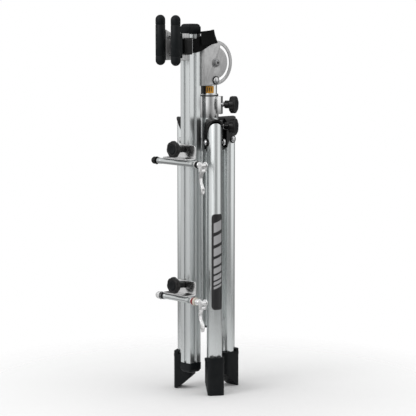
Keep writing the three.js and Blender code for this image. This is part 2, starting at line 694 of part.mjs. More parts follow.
function tBolt() {
  const base = CARRIAGE_KNOB_RISE;
  return join(
    alongX(rod(T_BOLT_RADIUS, plateFrontX - 22, RAIL_FAR_X + 4, TINY_ROUND)).translate(0, 0, base),
    block(
      RAIL_FAR_X + T_SLOT_LIP + GAP, RAIL_FAR_X + T_NUT_DEPTH, -T_NUT_HALF, T_NUT_HALF, base - 12, base + 12,
    ),
  );
}

function carriageGlide() {
  const z = CARRIAGE_KNOB_RISE;
  return cut(
    block(CARRIAGE_PLATE_X + GAP, RAIL_FAR_X - GAP, -15, 15, z - 15, z + 10),
    alongX(rod(T_BOLT_RADIUS + GAP, -100, -60, TINY_ROUND)).translate(0, 0, z),
  );
}

function carriagePlate() {
  const half = CARRIAGE_HALF_WIDTH;
  const corner = 6;
  const face = new THREE.Shape();
  face.moveTo(-half, SHELF_RISE);
  face.lineTo(half, SHELF_RISE);
  face.lineTo(half, CARRIAGE_TOP_RISE - corner);
  face.absarc(half - corner, CARRIAGE_TOP_RISE - corner, corner, 0, Math.PI / 2);
  face.lineTo(-half + corner, CARRIAGE_TOP_RISE);
  face.absarc(-half + corner, CARRIAGE_TOP_RISE - corner, corner, Math.PI / 2, Math.PI);
  return cut(
    join(
      crossPlate(face, plateFrontX, plateFrontX + PLATE, 4),
      block(AXLE_X - 6, plateFrontX + 1, -half, half, SHELF_RISE, SHELF_RISE + PLATE),
    ),
    alongX(rod(T_BOLT_RADIUS + GAP, -100, -60, TINY_ROUND)).translate(0, 0, CARRIAGE_KNOB_RISE),
  );
}

function carriageKnob() {
  const back = plateFrontX - GAP;
  const knob = turned([
    [0, 0], [9, 0], [9, 21], [16, 25], [21, 27], [21, 34], [17, 37], [0, 37],
  ]);
  const bore = rod(T_BOLT_RADIUS + GAP, -1, 22.6, TINY_ROUND);
  return cut(knob, bore).rotateY(-Math.PI / 2).translate(back, 0, CARRIAGE_KNOB_RISE);
}

// The cam body stands clear of the axle tube, which leaves room to slip a dropout in.
function skewer(halfWidth) {
  const camEnd = CAM_Y + EYE_RADIUS + GAP;
  const camStart = -halfWidth - DROPOUT_ROOM;
  return join(
    alongY(rod(SKEWER_RADIUS, CAM_Y, halfWidth + NUT_ROOM + NUT_THREAD, TINY_ROUND)),
    alongY(turned([
      [0, camEnd], [7, camEnd], [8.2, camEnd + 2], [8.2, camStart - 2.5], [9.2, camStart - 2.5],
      [9.2, camStart], [0, camStart],
    ])),
    alongY(rod(CAM_RADIUS, CAM_Y, camEnd + 1)),
    alongX(rod(CAM_RADIUS, -CAM_RADIUS + 1, CAM_RADIUS - 1)).translate(0, CAM_Y, 0),
    alongX(rod(2, -EYE_OUTER - 0.6, EYE_OUTER + 0.6, TINY_ROUND)).translate(0, CAM_Y, 0),
  ).translate(AXLE_X, 0, 0);
}

// A forked lever: two eyes on the cam pin, a bowed arm and a straight grip.
function camLever() {
  const eyes = [-EYE_OUTER, EYE_INNER].map((x) => (
    alongX(rod(EYE_RADIUS, x, x + EYE_OUTER - EYE_INNER, SMALL_ROUND))
  ));
  const cheeks = [-EYE_OUTER, EYE_INNER].map((x) => (
    block(x, x + EYE_OUTER - EYE_INNER, -3.5, 5.5, -EYE_RADIUS - 5, -2)
  ));
  const yoke = block(-EYE_OUTER, EYE_OUTER, -2, 6, -EYE_RADIUS - 9, -EYE_RADIUS - 1);
  const blade = new THREE.Shape();
  blade.moveTo(-1, -EYE_RADIUS - 4);
  blade.lineTo(6, -EYE_RADIUS - 4);
  blade.quadraticCurveTo(11, -32, 4, -50);
  blade.lineTo(2.6, -LEVER_LENGTH + 2);
  blade.lineTo(-1, -LEVER_LENGTH);
  blade.lineTo(-3, -LEVER_LENGTH + 4);
  blade.lineTo(-2.4, -52);
  blade.quadraticCurveTo(5, -32, -1, -EYE_RADIUS - 4);
  const arm = crossPlate(blade, -LEVER_HALF, LEVER_HALF, 5);
  const lever = cut(join(...eyes, ...cheeks, yoke, arm), alongX(rod(2 + GAP, -15, 15, TINY_ROUND)));
  return lever.translate(AXLE_X, CAM_Y, 0);
}

CARRIAGES.forEach(({ name, axleZ, halfWidth }) => {
  const carriage = new THREE.Group();
  carriage.position.z = axleZ;
  stand.add(carriage);
  add(`${name}_carriage_t_bolt`, 'zinc', tBolt(), carriage);
  add(`${name}_carriage_glide`, 'blackPlastic', carriageGlide(), carriage);
  add(`${name}_carriage_plate`, 'polished', carriagePlate(), carriage);
  add(`${name}_carriage_knob`, 'blackPlastic', carriageKnob(), carriage);
  const axle = alongY(ring(AXLE_RADIUS, SKEWER_RADIUS + GAP, -halfWidth, halfWidth, SMALL_ROUND + 4));
  add(`${name}_axle_tube`, 'satin', axle.translate(AXLE_X, 0, 0), carriage);
  add(`${name}_skewer`, 'polished', skewer(halfWidth), carriage);
  add(`${name}_lever`, 'polished', camLever(), carriage);
  const nutY = halfWidth + NUT_ROOM;
  const nutEnd = nutY + NUT_LENGTH;
  const nut = cut(
    alongY(turned([[0, nutY], [10, nutY], [9, nutY + 3], [9, nutEnd - 4], [6, nutEnd], [0, nutEnd]])),
    alongY(rod(SKEWER_RADIUS + GAP, nutY - 1, nutY + NUT_THREAD + GAP, TINY_ROUND)),
  );
  add(`${name}_skewer_nut`, 'blackPlastic', nut.translate(AXLE_X, 0, 0), carriage);
});

export default stand;
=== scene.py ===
import math

import bmesh
import bpy
from mathutils import Matrix, Vector


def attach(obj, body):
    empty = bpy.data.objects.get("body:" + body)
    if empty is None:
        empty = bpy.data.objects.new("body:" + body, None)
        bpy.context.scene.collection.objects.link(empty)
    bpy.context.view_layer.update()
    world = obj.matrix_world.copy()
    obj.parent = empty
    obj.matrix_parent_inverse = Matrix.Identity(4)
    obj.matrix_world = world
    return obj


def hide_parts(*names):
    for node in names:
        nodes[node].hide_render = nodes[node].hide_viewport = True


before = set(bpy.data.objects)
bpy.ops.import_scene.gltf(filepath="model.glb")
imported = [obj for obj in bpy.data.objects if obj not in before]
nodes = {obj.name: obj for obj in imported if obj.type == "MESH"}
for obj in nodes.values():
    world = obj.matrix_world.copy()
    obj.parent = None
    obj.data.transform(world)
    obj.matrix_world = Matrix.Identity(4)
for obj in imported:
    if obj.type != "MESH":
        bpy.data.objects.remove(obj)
scene = bpy.context.scene
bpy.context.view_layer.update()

# ---- driving dimensions, as in the CAD ----
MM = 0.001
LEG_ANGLES = (0, 120, 240)
LEG_OFFSET, LEG_RADIUS, LEG_WALL = 63, 19, 1.8
LEG_TOP_Z, LEG_FOOT_Z, LEG_PIVOT_Z, LEG_SPREAD = 678, 39, 630, 41
FOOT_INNER, FOOT_OUTER, FOOT_HALF_WIDTH = 23, 25, 20.8
FOOT_TOP_Z, FOOT_TONGUE_Z, FOOT_LAND = 88, 95, 9
HUB_BOTTOM_Z, HUB_TOP_Z, HOOD_CEILING_Z, HOOD_ARCH_Z = 604, 687, 683, 663
HOOD_RADIUS, LEG_STOP_OFFSET, LEG_CLEAR_OFFSET, PIVOT_LOBE_RADIUS = 21, 45.2, 42.8, 9.5
HOOD_WEB_HALF = 12
SLEEVE_RADIUS, BOSS_REACH, COLLAR_TOP_Z = 24, 35, 740
OUTER_MAST_RADIUS, OUTER_MAST_BOTTOM_Z, OUTER_MAST_TOP_Z = 22.5, 165, 725
INNER_MAST_RADIUS, INNER_MAST_BOTTOM_Z, INNER_MAST_TOP_Z = 20, 330, 855
KNOB_ANGLE, MAST_KNOB_Z, HUB_KNOB_Z = 300, 720, 665
TILT_Z, SECTOR_RADIUS, SECTOR_INNER_Y, SECTOR_WEB_X = 823, 55, 22, -42
SLOT_RADIUS, SLOT_HALF_WIDTH, SLOT_START, SLOT_END = 43, 4, -98, 65
PLATE = 3
RAIL_NEAR_X, RAIL_FAR_X, RAIL_HALF_WIDTH = -42.3, -80.6, 17
RAIL_BOTTOM_Z, RAIL_TOP_Z = 70, 902
RAIL_MID_X = (RAIL_NEAR_X + RAIL_FAR_X) / 2
RAIL_HALF_DEPTH = (RAIL_NEAR_X - RAIL_FAR_X) / 2
PAD_X, PAD_Y, PAD_RADIUS, PAD_BOTTOM_Z, PAD_TOP_Z = -135, 28, 12, 820, 943
ARM_FRONT_X, ARM_BEND_X, ARM_BASE_X = -126, -106, -80.9
ARM_BOTTOM_Z, ARM_TOP_Z, ARM_FRONT_TOP_Z = 832, 897, 907
ARM_INNER_Y, ARM_OUTER_Y = 17.3, 20.3
PAD_BOLT_X, PAD_BOLT_ZS = -118, (844, 889)
STRAP_BOTTOM_Z, STRAP_TOP_Z, STRAP_THICKNESS = 849, 884, 1.8
CARRIAGES = (("upper", 581.5, 65), ("lower", 244, 50))
AXLE_X, AXLE_RADIUS, CAM_Y = -110, 7.5, -98
KNOB_RISE, SHELF_RISE, CARRIAGE_TOP_RISE, CARRIAGE_HALF_WIDTH = 32.5, 7.8, 43, 45
CARRIAGE_PLATE_X = -84
OUTER_MAST_WALL, INNER_MAST_WALL = 1.6, 1.8
SCREW_BORE, STUD_BORE, BOLT_BORE, PIVOT_BORE = 3.3, 3.9, 4.3, 5.3
GAP = 0.3  # clearance between neighbouring pieces
FINE = 96  # sides of a large round piece
SMALL = 40  # sides of a bolt

# ---- mesh helpers, in millimetres ----


def mesh_from(bm):
    bmesh.ops.recalc_face_normals(bm, faces=bm.faces)
    mesh = bpy.data.meshes.new("shape")
    bm.to_mesh(mesh)
    bm.free()
    return mesh


def lathe(profile, sides=FINE, lobes=None):
    """Turns (r, z) points round Z. A profile that ends where it starts makes a ring."""
    closed = profile[0] == profile[-1]
    points = profile[:-1] if closed else profile
    bm = bmesh.new()
    rows = []
    for r, z in points:
        if r == 0:
            rows.append([bm.verts.new((0, 0, z))])
            continue
        row = []
        for i in range(sides):
            a = 2 * math.pi * i / sides
            k = lobes(a, r, z) if lobes else 1
            row.append(bm.verts.new((r * k * math.cos(a), r * k * math.sin(a), z)))
        rows.append(row)
    pairs = list(zip(rows, rows[1:])) + ([(rows[-1], rows[0])] if closed else [])
    for low, high in pairs:
        for i in range(sides):
            j = (i + 1) % sides
            corners = [low[i % len(low)], low[j % len(low)], high[j % len(high)], high[i % len(high)]]
            corners = list(dict.fromkeys(corners))
            if len(corners) > 2:
                bm.faces.new(corners)
    return mesh_from(bm)


def rod(radius, z0, z1, sides=SMALL, edge=0.0):
    if not edge:
        return lathe([(0, z0), (radius, z0), (radius, z1), (0, z1)], sides)
    flat = radius - edge
    return lathe([(0, z0), (flat, z0), (radius, z0 + edge), (radius, z1 - edge), (flat, z1), (0, z1)], sides)


def ring(outer, inner, z0, z1, sides=FINE):
    return lathe([(inner, z0), (outer, z0), (outer, z1), (inner, z1), (inner, z0)], sides)


def prism(outline, z0, z1, holes=()):
    bm = bmesh.new()
    loops = []
    for points in (outline, *holes):
        low = [bm.verts.new((x, y, z0)) for x, y in points]
        high = [bm.verts.new((x, y, z1)) for x, y in points]
        loops.append((low, high))
        for i in range(len(points)):
            j = (i + 1) % len(points)
            bm.faces.new((low[i], low[j], high[j], high[i]))
    for level in (0, 1):
        if not holes:
            bm.faces.new(loops[0][level])
            continue
        rims = [pair[level] for pair in loops]
        edges = [bm.edges.get(ends) for rim in rims for ends in zip(rim[-1:] + rim, rim)]
        bmesh.ops.triangle_fill(bm, use_beauty=True, edges=edges)
    return mesh_from(bm)


def block(x0, x1, y0, y1, z0, z1):
    return prism([(x0, y0), (x1, y0), (x1, y1), (x0, y1)], z0, z1)


def arc(cx, cy, radius, start, end, steps):
    turn = [math.radians(start + (end - start) * i / steps) for i in range(steps + 1)]
    return [(cx + radius * math.cos(a), cy + radius * math.sin(a)) for a in turn]


def rounded(x0, x1, y0, y1, radius, steps=8):
    """A rectangle with round corners."""
    x0, x1, y0, y1 = x0 + radius, x1 - radius, y0 + radius, y1 - radius
    corners = (x1, y0), (x1, y1), (x0, y1), (x0, y0)
    return [p for i, c in enumerate(corners) for p in arc(*c, radius, 90 * i - 90, 90 * i, steps)]


def moved(mesh, x=0, y=0, z=0):
    mesh.transform(Matrix.Translation((x, y, z)))
    return mesh


def turned(mesh, degrees, axis="Z"):
    mesh.transform(Matrix.Rotation(math.radians(degrees), 4, axis))
    return mesh


def along_x(mesh):
    """Z becomes X, X becomes -Z."""
    return turned(mesh, 90, "Y")


def along_y(mesh):
    """Z becomes Y."""
    return turned(mesh, -90, "X")


def slab(outline, half):
    """An outline drawn in X and Z, that reaches half to either side along Y."""
    return turned(prism(outline, -half, half), 90, "X")


def across(mesh):
    """An outline drawn in Y and Z stands across X: (a, b, c) becomes (c, a, b)."""
    mesh.transform(Matrix(((0, 0, 1, 0), (1, 0, 0, 0), (0, 1, 0, 0), (0, 0, 0, 1))))
    return mesh


def placed(name, data):
    """An object of the scene that shows data."""
    obj = bpy.data.objects.new(name, data)
    scene.collection.objects.link(obj)
    return obj


def evaluated(mesh, *modifiers):
    """The mesh after modifiers, given as (kind, settings). The objects they use are used up."""
    obj = placed("working", mesh)
    used = [obj]
    for kind, settings in modifiers:
        modifier = obj.modifiers.new(kind, kind)
        for key, value in settings.items():
            setattr(modifier, key, value)
            if key == "object":
                used.append(value)
    bpy.context.view_layer.update()
    graph = bpy.context.evaluated_depsgraph_get()
    result = bpy.data.meshes.new_from_object(obj.evaluated_get(graph))
    for tool in used:
        bpy.data.objects.remove(tool)
    return result


def combined(base, *steps):
    """Each step is (operation, mesh), done in turn by an exact boolean."""
    tools = [{"operation": operation, "object": placed("tool", mesh)} for operation, mesh in steps]
    return evaluated(base, *(("BOOLEAN", {"solver": "EXACT", **tool}) for tool in tools))


def joined(base, *meshes):
    return combined(base, *(("UNION", mesh) for mesh in meshes))


def minus(*meshes):
    return [("DIFFERENCE", mesh) for mesh in meshes]


def cut(base, *meshes):
    return combined(base, *minus(*meshes))


def drill(radius, reach, x, z):
    """A cutter along Y for a hole right through."""
    return moved(along_y(rod(radius, -reach, reach)), x, 0, z)


def bevelled(mesh, width, segments=2, angle=32):
    bevel = {"width": width, "segments": segments, "miter_outer": "MITER_ARC"}
    bevel.update(limit_method="ANGLE", angle_limit=math.radians(angle))
    return evaluated(mesh, ("WELD", {"merge_threshold": 0.004}), ("BEVEL", bevel))


def swept(stations, section_at):
    """Lofts section_at(i) = [(u, v), ...] over stations = [(origin, u_axis, v_axis), ...]."""
    bm = bmesh.new()
    rows = []
    for i, (origin, u_axis, v_axis) in enumerate(stations):
        rows.append([bm.verts.new(origin + u_axis * u + v_axis * v) for u, v in section_at(i)])
    count = len(rows[0])
    for low, high in zip(rows, rows[1:]):
        for k in range(count):
            m = (k + 1) % count
            bm.faces.new((low[k], low[m], high[m], high[k]))
    bm.faces.new(rows[0])
    bm.faces.new(rows[-1])
    return mesh_from(bm)


def smooth_path(points, steps=8):
    """A Catmull-Rom curve through points."""
    points = [Vector(p) for p in points]
    padded = [2 * points[0] - points[1], *points, 2 * points[-1] - points[-2]]
    path = []
    for i in range(1, len(padded) - 2):
        p0, p1, p2, p3 = padded[i - 1 : i + 3]
        for s in range(steps):
            t = s / steps
            square, cube = 2 * p0 - 5 * p1 + 4 * p2 - p3, 3 * p1 - p0 - 3 * p2 + p3
            path.append(0.5 * (2 * p1 + (p2 - p0) * t + square * t**2 + cube * t**3))
    return path + [points[-1]]


def stations_along(path, side):
    """Frames along a path: u is the fixed side direction, v is square to it and to the path."""
    side = Vector(side)
    result = []
    for i, point in enumerate(path):
        ahead = path[min(i + 1, len(path) - 1)] - path[max(i - 1, 0)]
        result.append((point, side, ahead.cross(side).normalized()))
    return result


def piece(name, mesh, material, body, replaced=None, sharp=32):
    """Makes a finished mesh into an object of the stand, in metres."""
    mesh.transform(Matrix.Scale(MM, 4))
    mesh.name = name
    obj = placed(name, mesh)
    mesh.materials.clear()
    mesh.materials.append(material)
    mesh.polygons.foreach_set("use_smooth", [True] * len(mesh.polygons))
    mesh.set_sharp_from_angle(angle=math.radians(sharp))
    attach(obj, body)
    if replaced:
        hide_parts(replaced)
    return obj


# ---- materials: object coordinates, in metres ----


class Graph:
    """A node tree, with a short way to add nodes."""

    def __init__(self, tree):
        self.tree = tree

    def feed(self, socket, value):
        """A value is a socket to link, or what the socket is set to."""
        if isinstance(value, bpy.types.NodeSocket):
            self.tree.links.new(value, socket)
        else:
            socket.default_value = value

    def add(self, kind, output, values, **settings):
        """Adds a node, feeds its inputs from values, and returns one of its outputs."""
        node = self.tree.nodes.new("ShaderNode" + kind)
        for key, value in settings.items():
            setattr(node, key, value)
        for key, value in values.items():
            self.feed(node.inputs[key], value)
        return node.outputs[output]

    def math(self, operation, a, b):
        return self.add("Math", 0, {0: a, 1: b}, operation=operation)

    def mixed(self, share, a, b):
        return self.add("Mix", "Result", {"Factor": share, "A": a, "B": b}, data_type="RGBA")

    def span(self, value, to_low, to_high, low=0.3, high=0.7):
        ends = {"From Min": low, "From Max": high, "To Min": to_low, "To Max": to_high}
        return self.add("MapRange", "Result", {"Value": value, **ends})

    def ramp(self, value, *stops):
        color = self.add("ValToRGB", "Color", {"Fac": value})
        elements = color.node.color_ramp.elements
        while len(elements) < len(stops):
            elements.new(0.5)
        for element, (position, shade) in zip(elements, stops):
            element.position = position
            element.color = (*shade, 1)
        return color


class Shader(Graph):
    """A Principled material whose patterns follow the object's coordinates."""

    def __init__(self, name, slot=None):
        self.material = bpy.data.materials.new(name)
        self.material.use_nodes = True
        super().__init__(self.material.node_tree)
        self.bsdf = self.tree.nodes["Principled BSDF"]
        self.where = self.add("TexCoord", "Object", {})

    def mapped(self, scale):
        return self.add("Mapping", "Vector", {"Scale": scale, "Vector": self.where})

    def noise(self, scale, stretch=(1, 1, 1), detail=4.0, rough=0.6):
        values = {"Scale": scale, "Detail": detail, "Roughness": rough}
        return self.add("TexNoise", "Fac", {**values, "Vector": self.mapped(stretch)})

    def voronoi(self, scale):
        return self.add("TexVoronoi", "Distance", {"Scale": scale, "Vector": self.mapped((1, 1, 1))})

    def wave(self, scale, direction, distortion):
        values = {"Scale": scale, "Distortion": distortion, "Vector": self.where}
        return self.add("TexWave", "Fac", values, bands_direction=direction)

    def set(self, **values):
        for key, value in values.items():
            self.feed(self.bsdf.inputs[key.replace("_", " ")], value)

    def finished(self, relief, **values):
        """Sets the bump, from (height, strength, distance), and the other inputs."""
        bump = dict(zip(("Height", "Strength", "Distance"), relief))
        self.set(Normal=self.add("Bump", "Normal", bump), **values)
        return self.material


def grey(level, tint=(1, 1, 1)):
    return tuple(level * t for t in tint)


def satin_material(name, level=0.74, rough=0.26, along=(1, 1, 0.012)):
    """Anodised aluminium with fine streaks along one axis."""
    s = Shader(name, "satin_aluminium")
    streaks = s.noise(1400, along, 3)
    haze = s.noise(9, (1, 1, 0.4), 3)
    cool = (0.965, 1.0, 1.0)
    grain = s.span(streaks, rough - 0.02, rough + 0.02)
    return s.finished(
        (streaks, 0.02, 0.0003),
        Base_Color=s.ramp(streaks, (0.25, grey(level * 0.96, cool)), (0.75, grey(level * 1.02, cool))),
        Metallic=1.0,
        Roughness=s.math("ADD", grain, s.span(haze, -0.03, 0.03)),
        Anisotropic=0.35,
    )


def polished_material(name, level, rough):
    s = Shader(name, "polished_aluminium")
    smudge = s.noise(60, detail=5)
    scratches = s.noise(900, (1, 0.04, 1), 2)
    smear = s.span(smudge, rough - 0.04, rough + 0.09, 0.35, 0.7)
    return s.finished(
        (scratches, 0.03, 0.0002),
        Base_Color=s.ramp(smudge, (0.3, grey(level * 0.92)), (0.7, grey(level))),
        Metallic=1.0,
        Roughness=s.math("ADD", smear, s.span(scratches, 0, 0.04, 0.4, 0.7)),
    )


def brushed_material(name, level):
    """Tumbled sheet metal: a speckled grey with short brush marks."""
    s = Shader(name, "brushed_plate")
    marks = s.noise(700, (1, 1, 0.12), 4, 0.7)
    speckle = s.noise(950, detail=6, rough=0.75)
    both = s.math("ADD", s.math("MULTIPLY", marks, 0.5), s.math("MULTIPLY", speckle, 0.5))
    shades = (0.36, grey(level * 0.72)), (0.5, grey(level)), (0.62, grey(level * 1.25))
    return s.finished(
        (both, 0.16, 0.0003),
        Base_Color=s.ramp(both, *shades),
        Metallic=0.85,
        Roughness=s.span(both, 0.56, 0.4, 0.35, 0.65),
    )


def zinc_material(name, level, rough):
    """Bright zinc plate, bluish in places and yellowish in others."""
    s = Shader(name, "zinc_plated")
    patch = s.noise(210, detail=4)
    blue, yellow = (0.97, 0.99, 1.05), (1.03, 1.0, 0.95)
    shades = (0.3, grey(level * 0.86, blue)), (0.55, grey(level)), (0.75, grey(level * 1.02, yellow))
    return s.finished(
        (patch, 0.05, 0.0002),
        Base_Color=s.ramp(patch, *shades),
        Metallic=1.0,
        Roughness=s.span(patch, rough - 0.05, rough + 0.1),
    )


def plastic_material(name, level=0.006, rough=0.36):
    s = Shader(name, "black_plastic")
    grain = s.noise(1500, detail=3)
    wear = s.noise(45, detail=5)
    worn = s.span(wear, rough - 0.05, rough + 0.07)
    return s.finished(
        (grain, 0.12, 0.0002),
        Base_Color=s.ramp(wear, (0.3, grey(level * 0.8)), (0.75, grey(level * 1.5))),
        Roughness=s.math("ADD", worn, s.span(grain, -0.03, 0.03)),
        Specular_IOR_Level=0.28,
    )


def rubber_material(name, level, rough, stipple=900):
    s = Shader(name, "black_rubber")
    dots = s.voronoi(stipple)
    dust = s.noise(70, detail=6)
    clean, dusty = grey(level, (0.8, 1, 1.15)), grey(level * 1.7, (0.9, 1, 1.05))
    dulled = s.span(dust, rough - 0.05, rough + 0.1, 0.3, 0.8)
    return s.finished(
        (dots, 0.25, 0.0003),
        Base_Color=s.ramp(dust, (0.35, clean), (0.8, dusty)),
        Roughness=s.math("ADD", dulled, s.span(dots, -0.05, 0.05, 0, 0.7)),
        Specular_IOR_Level=0.13,
    )


def webbing_material(name, level=0.003):
    """Nylon webbing: ribs along the strap crossed by fine picks."""
    s = Shader(name, "black_webbing")
    weave = s.math("MULTIPLY", s.wave(210, "X", 0.3), s.wave(330, "Z", 0.2))
    fuzz = s.noise(900, detail=4)
    fuzzy = s.math("ADD", weave, s.math("MULTIPLY", fuzz, 0.3))
    return s.finished(
        (weave, 0.5, 0.0004),
        Base_Color=s.ramp(fuzzy, (0.2, grey(level * 0.5)), (0.9, grey(level * 1.9))),
        Roughness=s.span(fuzz, 0.62, 0.8),
        Sheen_Weight=0.03,
        Specular_IOR_Level=0.12,
    )


def paint_material(name, color, rough):
    """Printed film: an even colour with faint mottling."""
    s = Shader(name, "black_plastic")
    mottle = s.noise(300, detail=4)
    return s.finished(
        (mottle, 0.03, 0.0001),
        Base_Color=s.ramp(mottle, (0.3, grey(0.9, color)), (0.7, color)),
        Roughness=s.span(mottle, rough - 0.05, rough + 0.06),
    )


SATIN = satin_material("satin_tube")
RAIL_SATIN = satin_material("satin_rail", 0.78, 0.3)
AXLE_SATIN = satin_material("satin_axle", 0.62, 0.24, (1, 0.012, 1))
SLEEVE_SATIN = satin_material("satin_sleeve", 0.68, 0.24)
POLISHED = polished_material("polished_plate", 0.7, 0.19)
POLISHED_CAM = polished_material("polished_cam", 0.86, 0.2)
BRUSHED = brushed_material("brushed_sector", 0.58)
BRUSHED_ARM = brushed_material("brushed_cradle", 0.6)
ZINC = zinc_material("zinc_bolt", 0.62, 0.18)
DARK_ZINC = zinc_material("zinc_pivot", 0.34, 0.2)
PLASTIC = plastic_material("moulded_plastic")
KNOB_PLASTIC = plastic_material("knob_plastic", 0.008, 0.3)
RUBBER = rubber_material("boot_rubber", 0.006, 0.46)
PAD_RUBBER = rubber_material("pad_rubber", 0.009, 0.4, 650)
CAP_RUBBER = rubber_material("cap_rubber", 0.007, 0.36)
WEBBING = webbing_material("woven_webbing")
LABEL_BLACK = paint_material("label_black", (0.012, 0.012, 0.013), 0.42)
LABEL_SILVER = paint_material("label_silver", (0.42, 0.42, 0.43), 0.4)
BAND_YELLOW = paint_material("band_yellow", (0.78, 0.36, 0.02), 0.4)
RED_RUBBER = paint_material("red_ring", (0.22, 0.01, 0.014), 0.35)
CREAM = paint_material("cream_washer", (0.6, 0.57, 0.48), 0.4)


# ---- small shape helpers ----


def soft(profile, radius, steps):
    """Rounds the inner corners of an open (r, z) profile."""
    result = [profile[0]]
    for a, b, c in zip(profile, profile[1:], profile[2:]):
        before, after = math.dist(a, b), math.dist(b, c)
        reach = min(radius, before * 0.45, after * 0.45)
        start = [b[k] + (a[k] - b[k]) * reach / before for k in (0, 1)]
        end = [b[k] + (c[k] - b[k]) * reach / after for k in (0, 1)]
        for i in range(steps + 1):
            t = i / steps
            weights = (1 - t) ** 2, 2 * t * (1 - t), t * t
            result.append(tuple(sum(w * q[k] for w, q in zip(weights, (start, b, end))) for k in (0, 1)))
    return result + [profile[-1]]


def spun(profile, radius=0.6, steps=3, sides=FINE, lobes=None):
    return lathe(soft(profile, radius, steps), sides, lobes)


def soft_ring(outer, inner, z0, z1, radius):
    seam = (inner, (z0 + z1) / 2)
    return spun([seam, (inner, z0), (outer, z0), (outer, z1), (inner, z1), seam], radius)


def lobed(count, depth, from_radius):
    """A factor that scallops only the wide part of a knob."""

    def factor(angle, r, z):
        return 1 - depth * (0.5 - 0.5 * math.cos(count * angle)) ** 2 if r > from_radius else 1

    return factor


def hexagon(radius, z0, z1, chamfer=0.8):
    """A nut blank: a hexagonal bar with turned-down corners."""
    bar = lathe([(0, z0), (radius, z0), (radius, z1), (0, z1)], 6)
    low, high = radius * 0.9, radius * 1.02
    blank = lathe([(0, z0), (low, z0), (high, z0 + chamfer), (high, z1 - chamfer), (low, z1), (0, z1)], SMALL)
    return combined(bar, ("INTERSECT", blank))


def patch(radius, a0, a1, z0, z1, corner=0.0, slant=0.0, lift=0.12, steps=24):
    """A thin film on a tube, with rounded corners. Angles are degrees round the tube's own axis."""
    length = math.radians(a1 - a0) * radius
    stations, insets = [], []
    for i in range(steps + 1):
        # The columns crowd towards the sides, where the corners are.
        t = 0.5 - 0.5 * math.cos(math.pi * i / steps)
        a = math.radians(a0 + (a1 - a0) * t)
        stations.append((Vector((0, 0, slant * t)), Vector((math.cos(a), math.sin(a), 0)), Vector((0, 0, 1))))
        gap = min(corner, length * min(t, 1 - t))
        insets.append(corner - math.sqrt(max(0.0, corner**2 - (corner - gap) ** 2)))
    inner, outer = radius + 0.02, radius + 0.02 + lift

    def section(i):
        low, high = z0 + insets[i], z1 - insets[i]
        return [(inner, low), (outer, low), (outer, high), (inner, high)]

    return swept(stations, section)


# ---- legs ----
def leg_tube():
    tube = ring(LEG_RADIUS, LEG_RADIUS - LEG_WALL, LEG_FOOT_Z, LEG_TOP_Z)
    slope = 1 / math.tan(math.radians(LEG_SPREAD))
    for vertex in tube.vertices:
        if vertex.co.z > LEG_PIVOT_Z:
            vertex.co.z = LEG_TOP_Z - (LEG_RADIUS - vertex.co.x) * slope
    tube = cut(tube, drill(BOLT_BORE, 30, 0, LEG_PIVOT_Z))
    return bevelled(moved(tube, LEG_OFFSET), 0.4, 2, 50)


def boot():
    inner, outer = LEG_OFFSET - FOOT_INNER, LEG_OFFSET + FOOT_OUTER
    half = FOOT_HALF_WIDTH
    body = prism(rounded(inner, outer, -half, half, 9), 0, FOOT_TONGUE_Z)
    rim = prism(rounded(inner - 0.9, outer + 0.5, -half - 0.8, half + 0.8, 9.7), FOOT_TOP_Z - 7, FOOT_TOP_Z)
    lean = math.radians(LEG_SPREAD)
    land = outer - FOOT_LAND
    run = land - inner + 5
    wedge = [(land, 0), (land - run, run * math.tan(lean)), (land - run, -5), (land, -5)]
    cuts = [slab(wedge, 30)]
    for reach in (8, 17, 26, 35, 44):
        groove = turned(block(-1.1, 1.1, -30, 30, -3, 1.5), LEG_SPREAD, "Y")
        cuts.append(moved(groove, land - reach * math.cos(lean), 0, reach * math.sin(lean)))
    cuts.append(moved(rod(LEG_RADIUS + GAP, LEG_FOOT_Z - GAP, FOOT_TONGUE_Z + 5, FINE), LEG_OFFSET))
    cuts.append(block(inner - 5, LEG_OFFSET + 12, -30, 30, FOOT_TOP_Z, FOOT_TONGUE_Z + 5))
    return bevelled(cut(joined(body, rim), *cuts), 1.1, 3)


def pivot_bolt():
    cheek = HOOD_RADIUS + GAP
    profile = [(0, -4.6), (3, -5), (6, -3.6), (7.5, -1), (7.5, 0), (0, 0)]
    head = spun([(r, z - cheek) for r, z in profile], 1)
    socket = turned(hexagon(3, -cheek - 7, -cheek - 3, 0), 10)
    washer = soft_ring(8.6, 3.5, cheek, cheek + 1.2, 0.3)
    profile = [(0, cheek), (4, cheek), (4, cheek + 5.4), (3.2, cheek + 6), (0, cheek + 6)]
    end = spun(profile, 0.4, sides=SMALL)
    bolt = joined(head, rod(4, -cheek - 2, cheek + 2), washer, hexagon(7.5, cheek + 1, cheek + 5), end)
    bolt = cut(bolt, socket)
    return moved(along_y(bevelled(bolt, 0.25)), LEG_OFFSET, 0, LEG_PIVOT_Z)


def above_arch(radius):
    """Everything above an arch of that radius, which runs along X."""
    top = HUB_TOP_Z + 10
    shape = [(-30, HOOD_ARCH_Z)] + arc(0, HOOD_ARCH_Z, radius, 180, 0, 40)
    return across(prism(shape + [(30, HOOD_ARCH_Z), (30, top), (-30, top)], 0, 120))


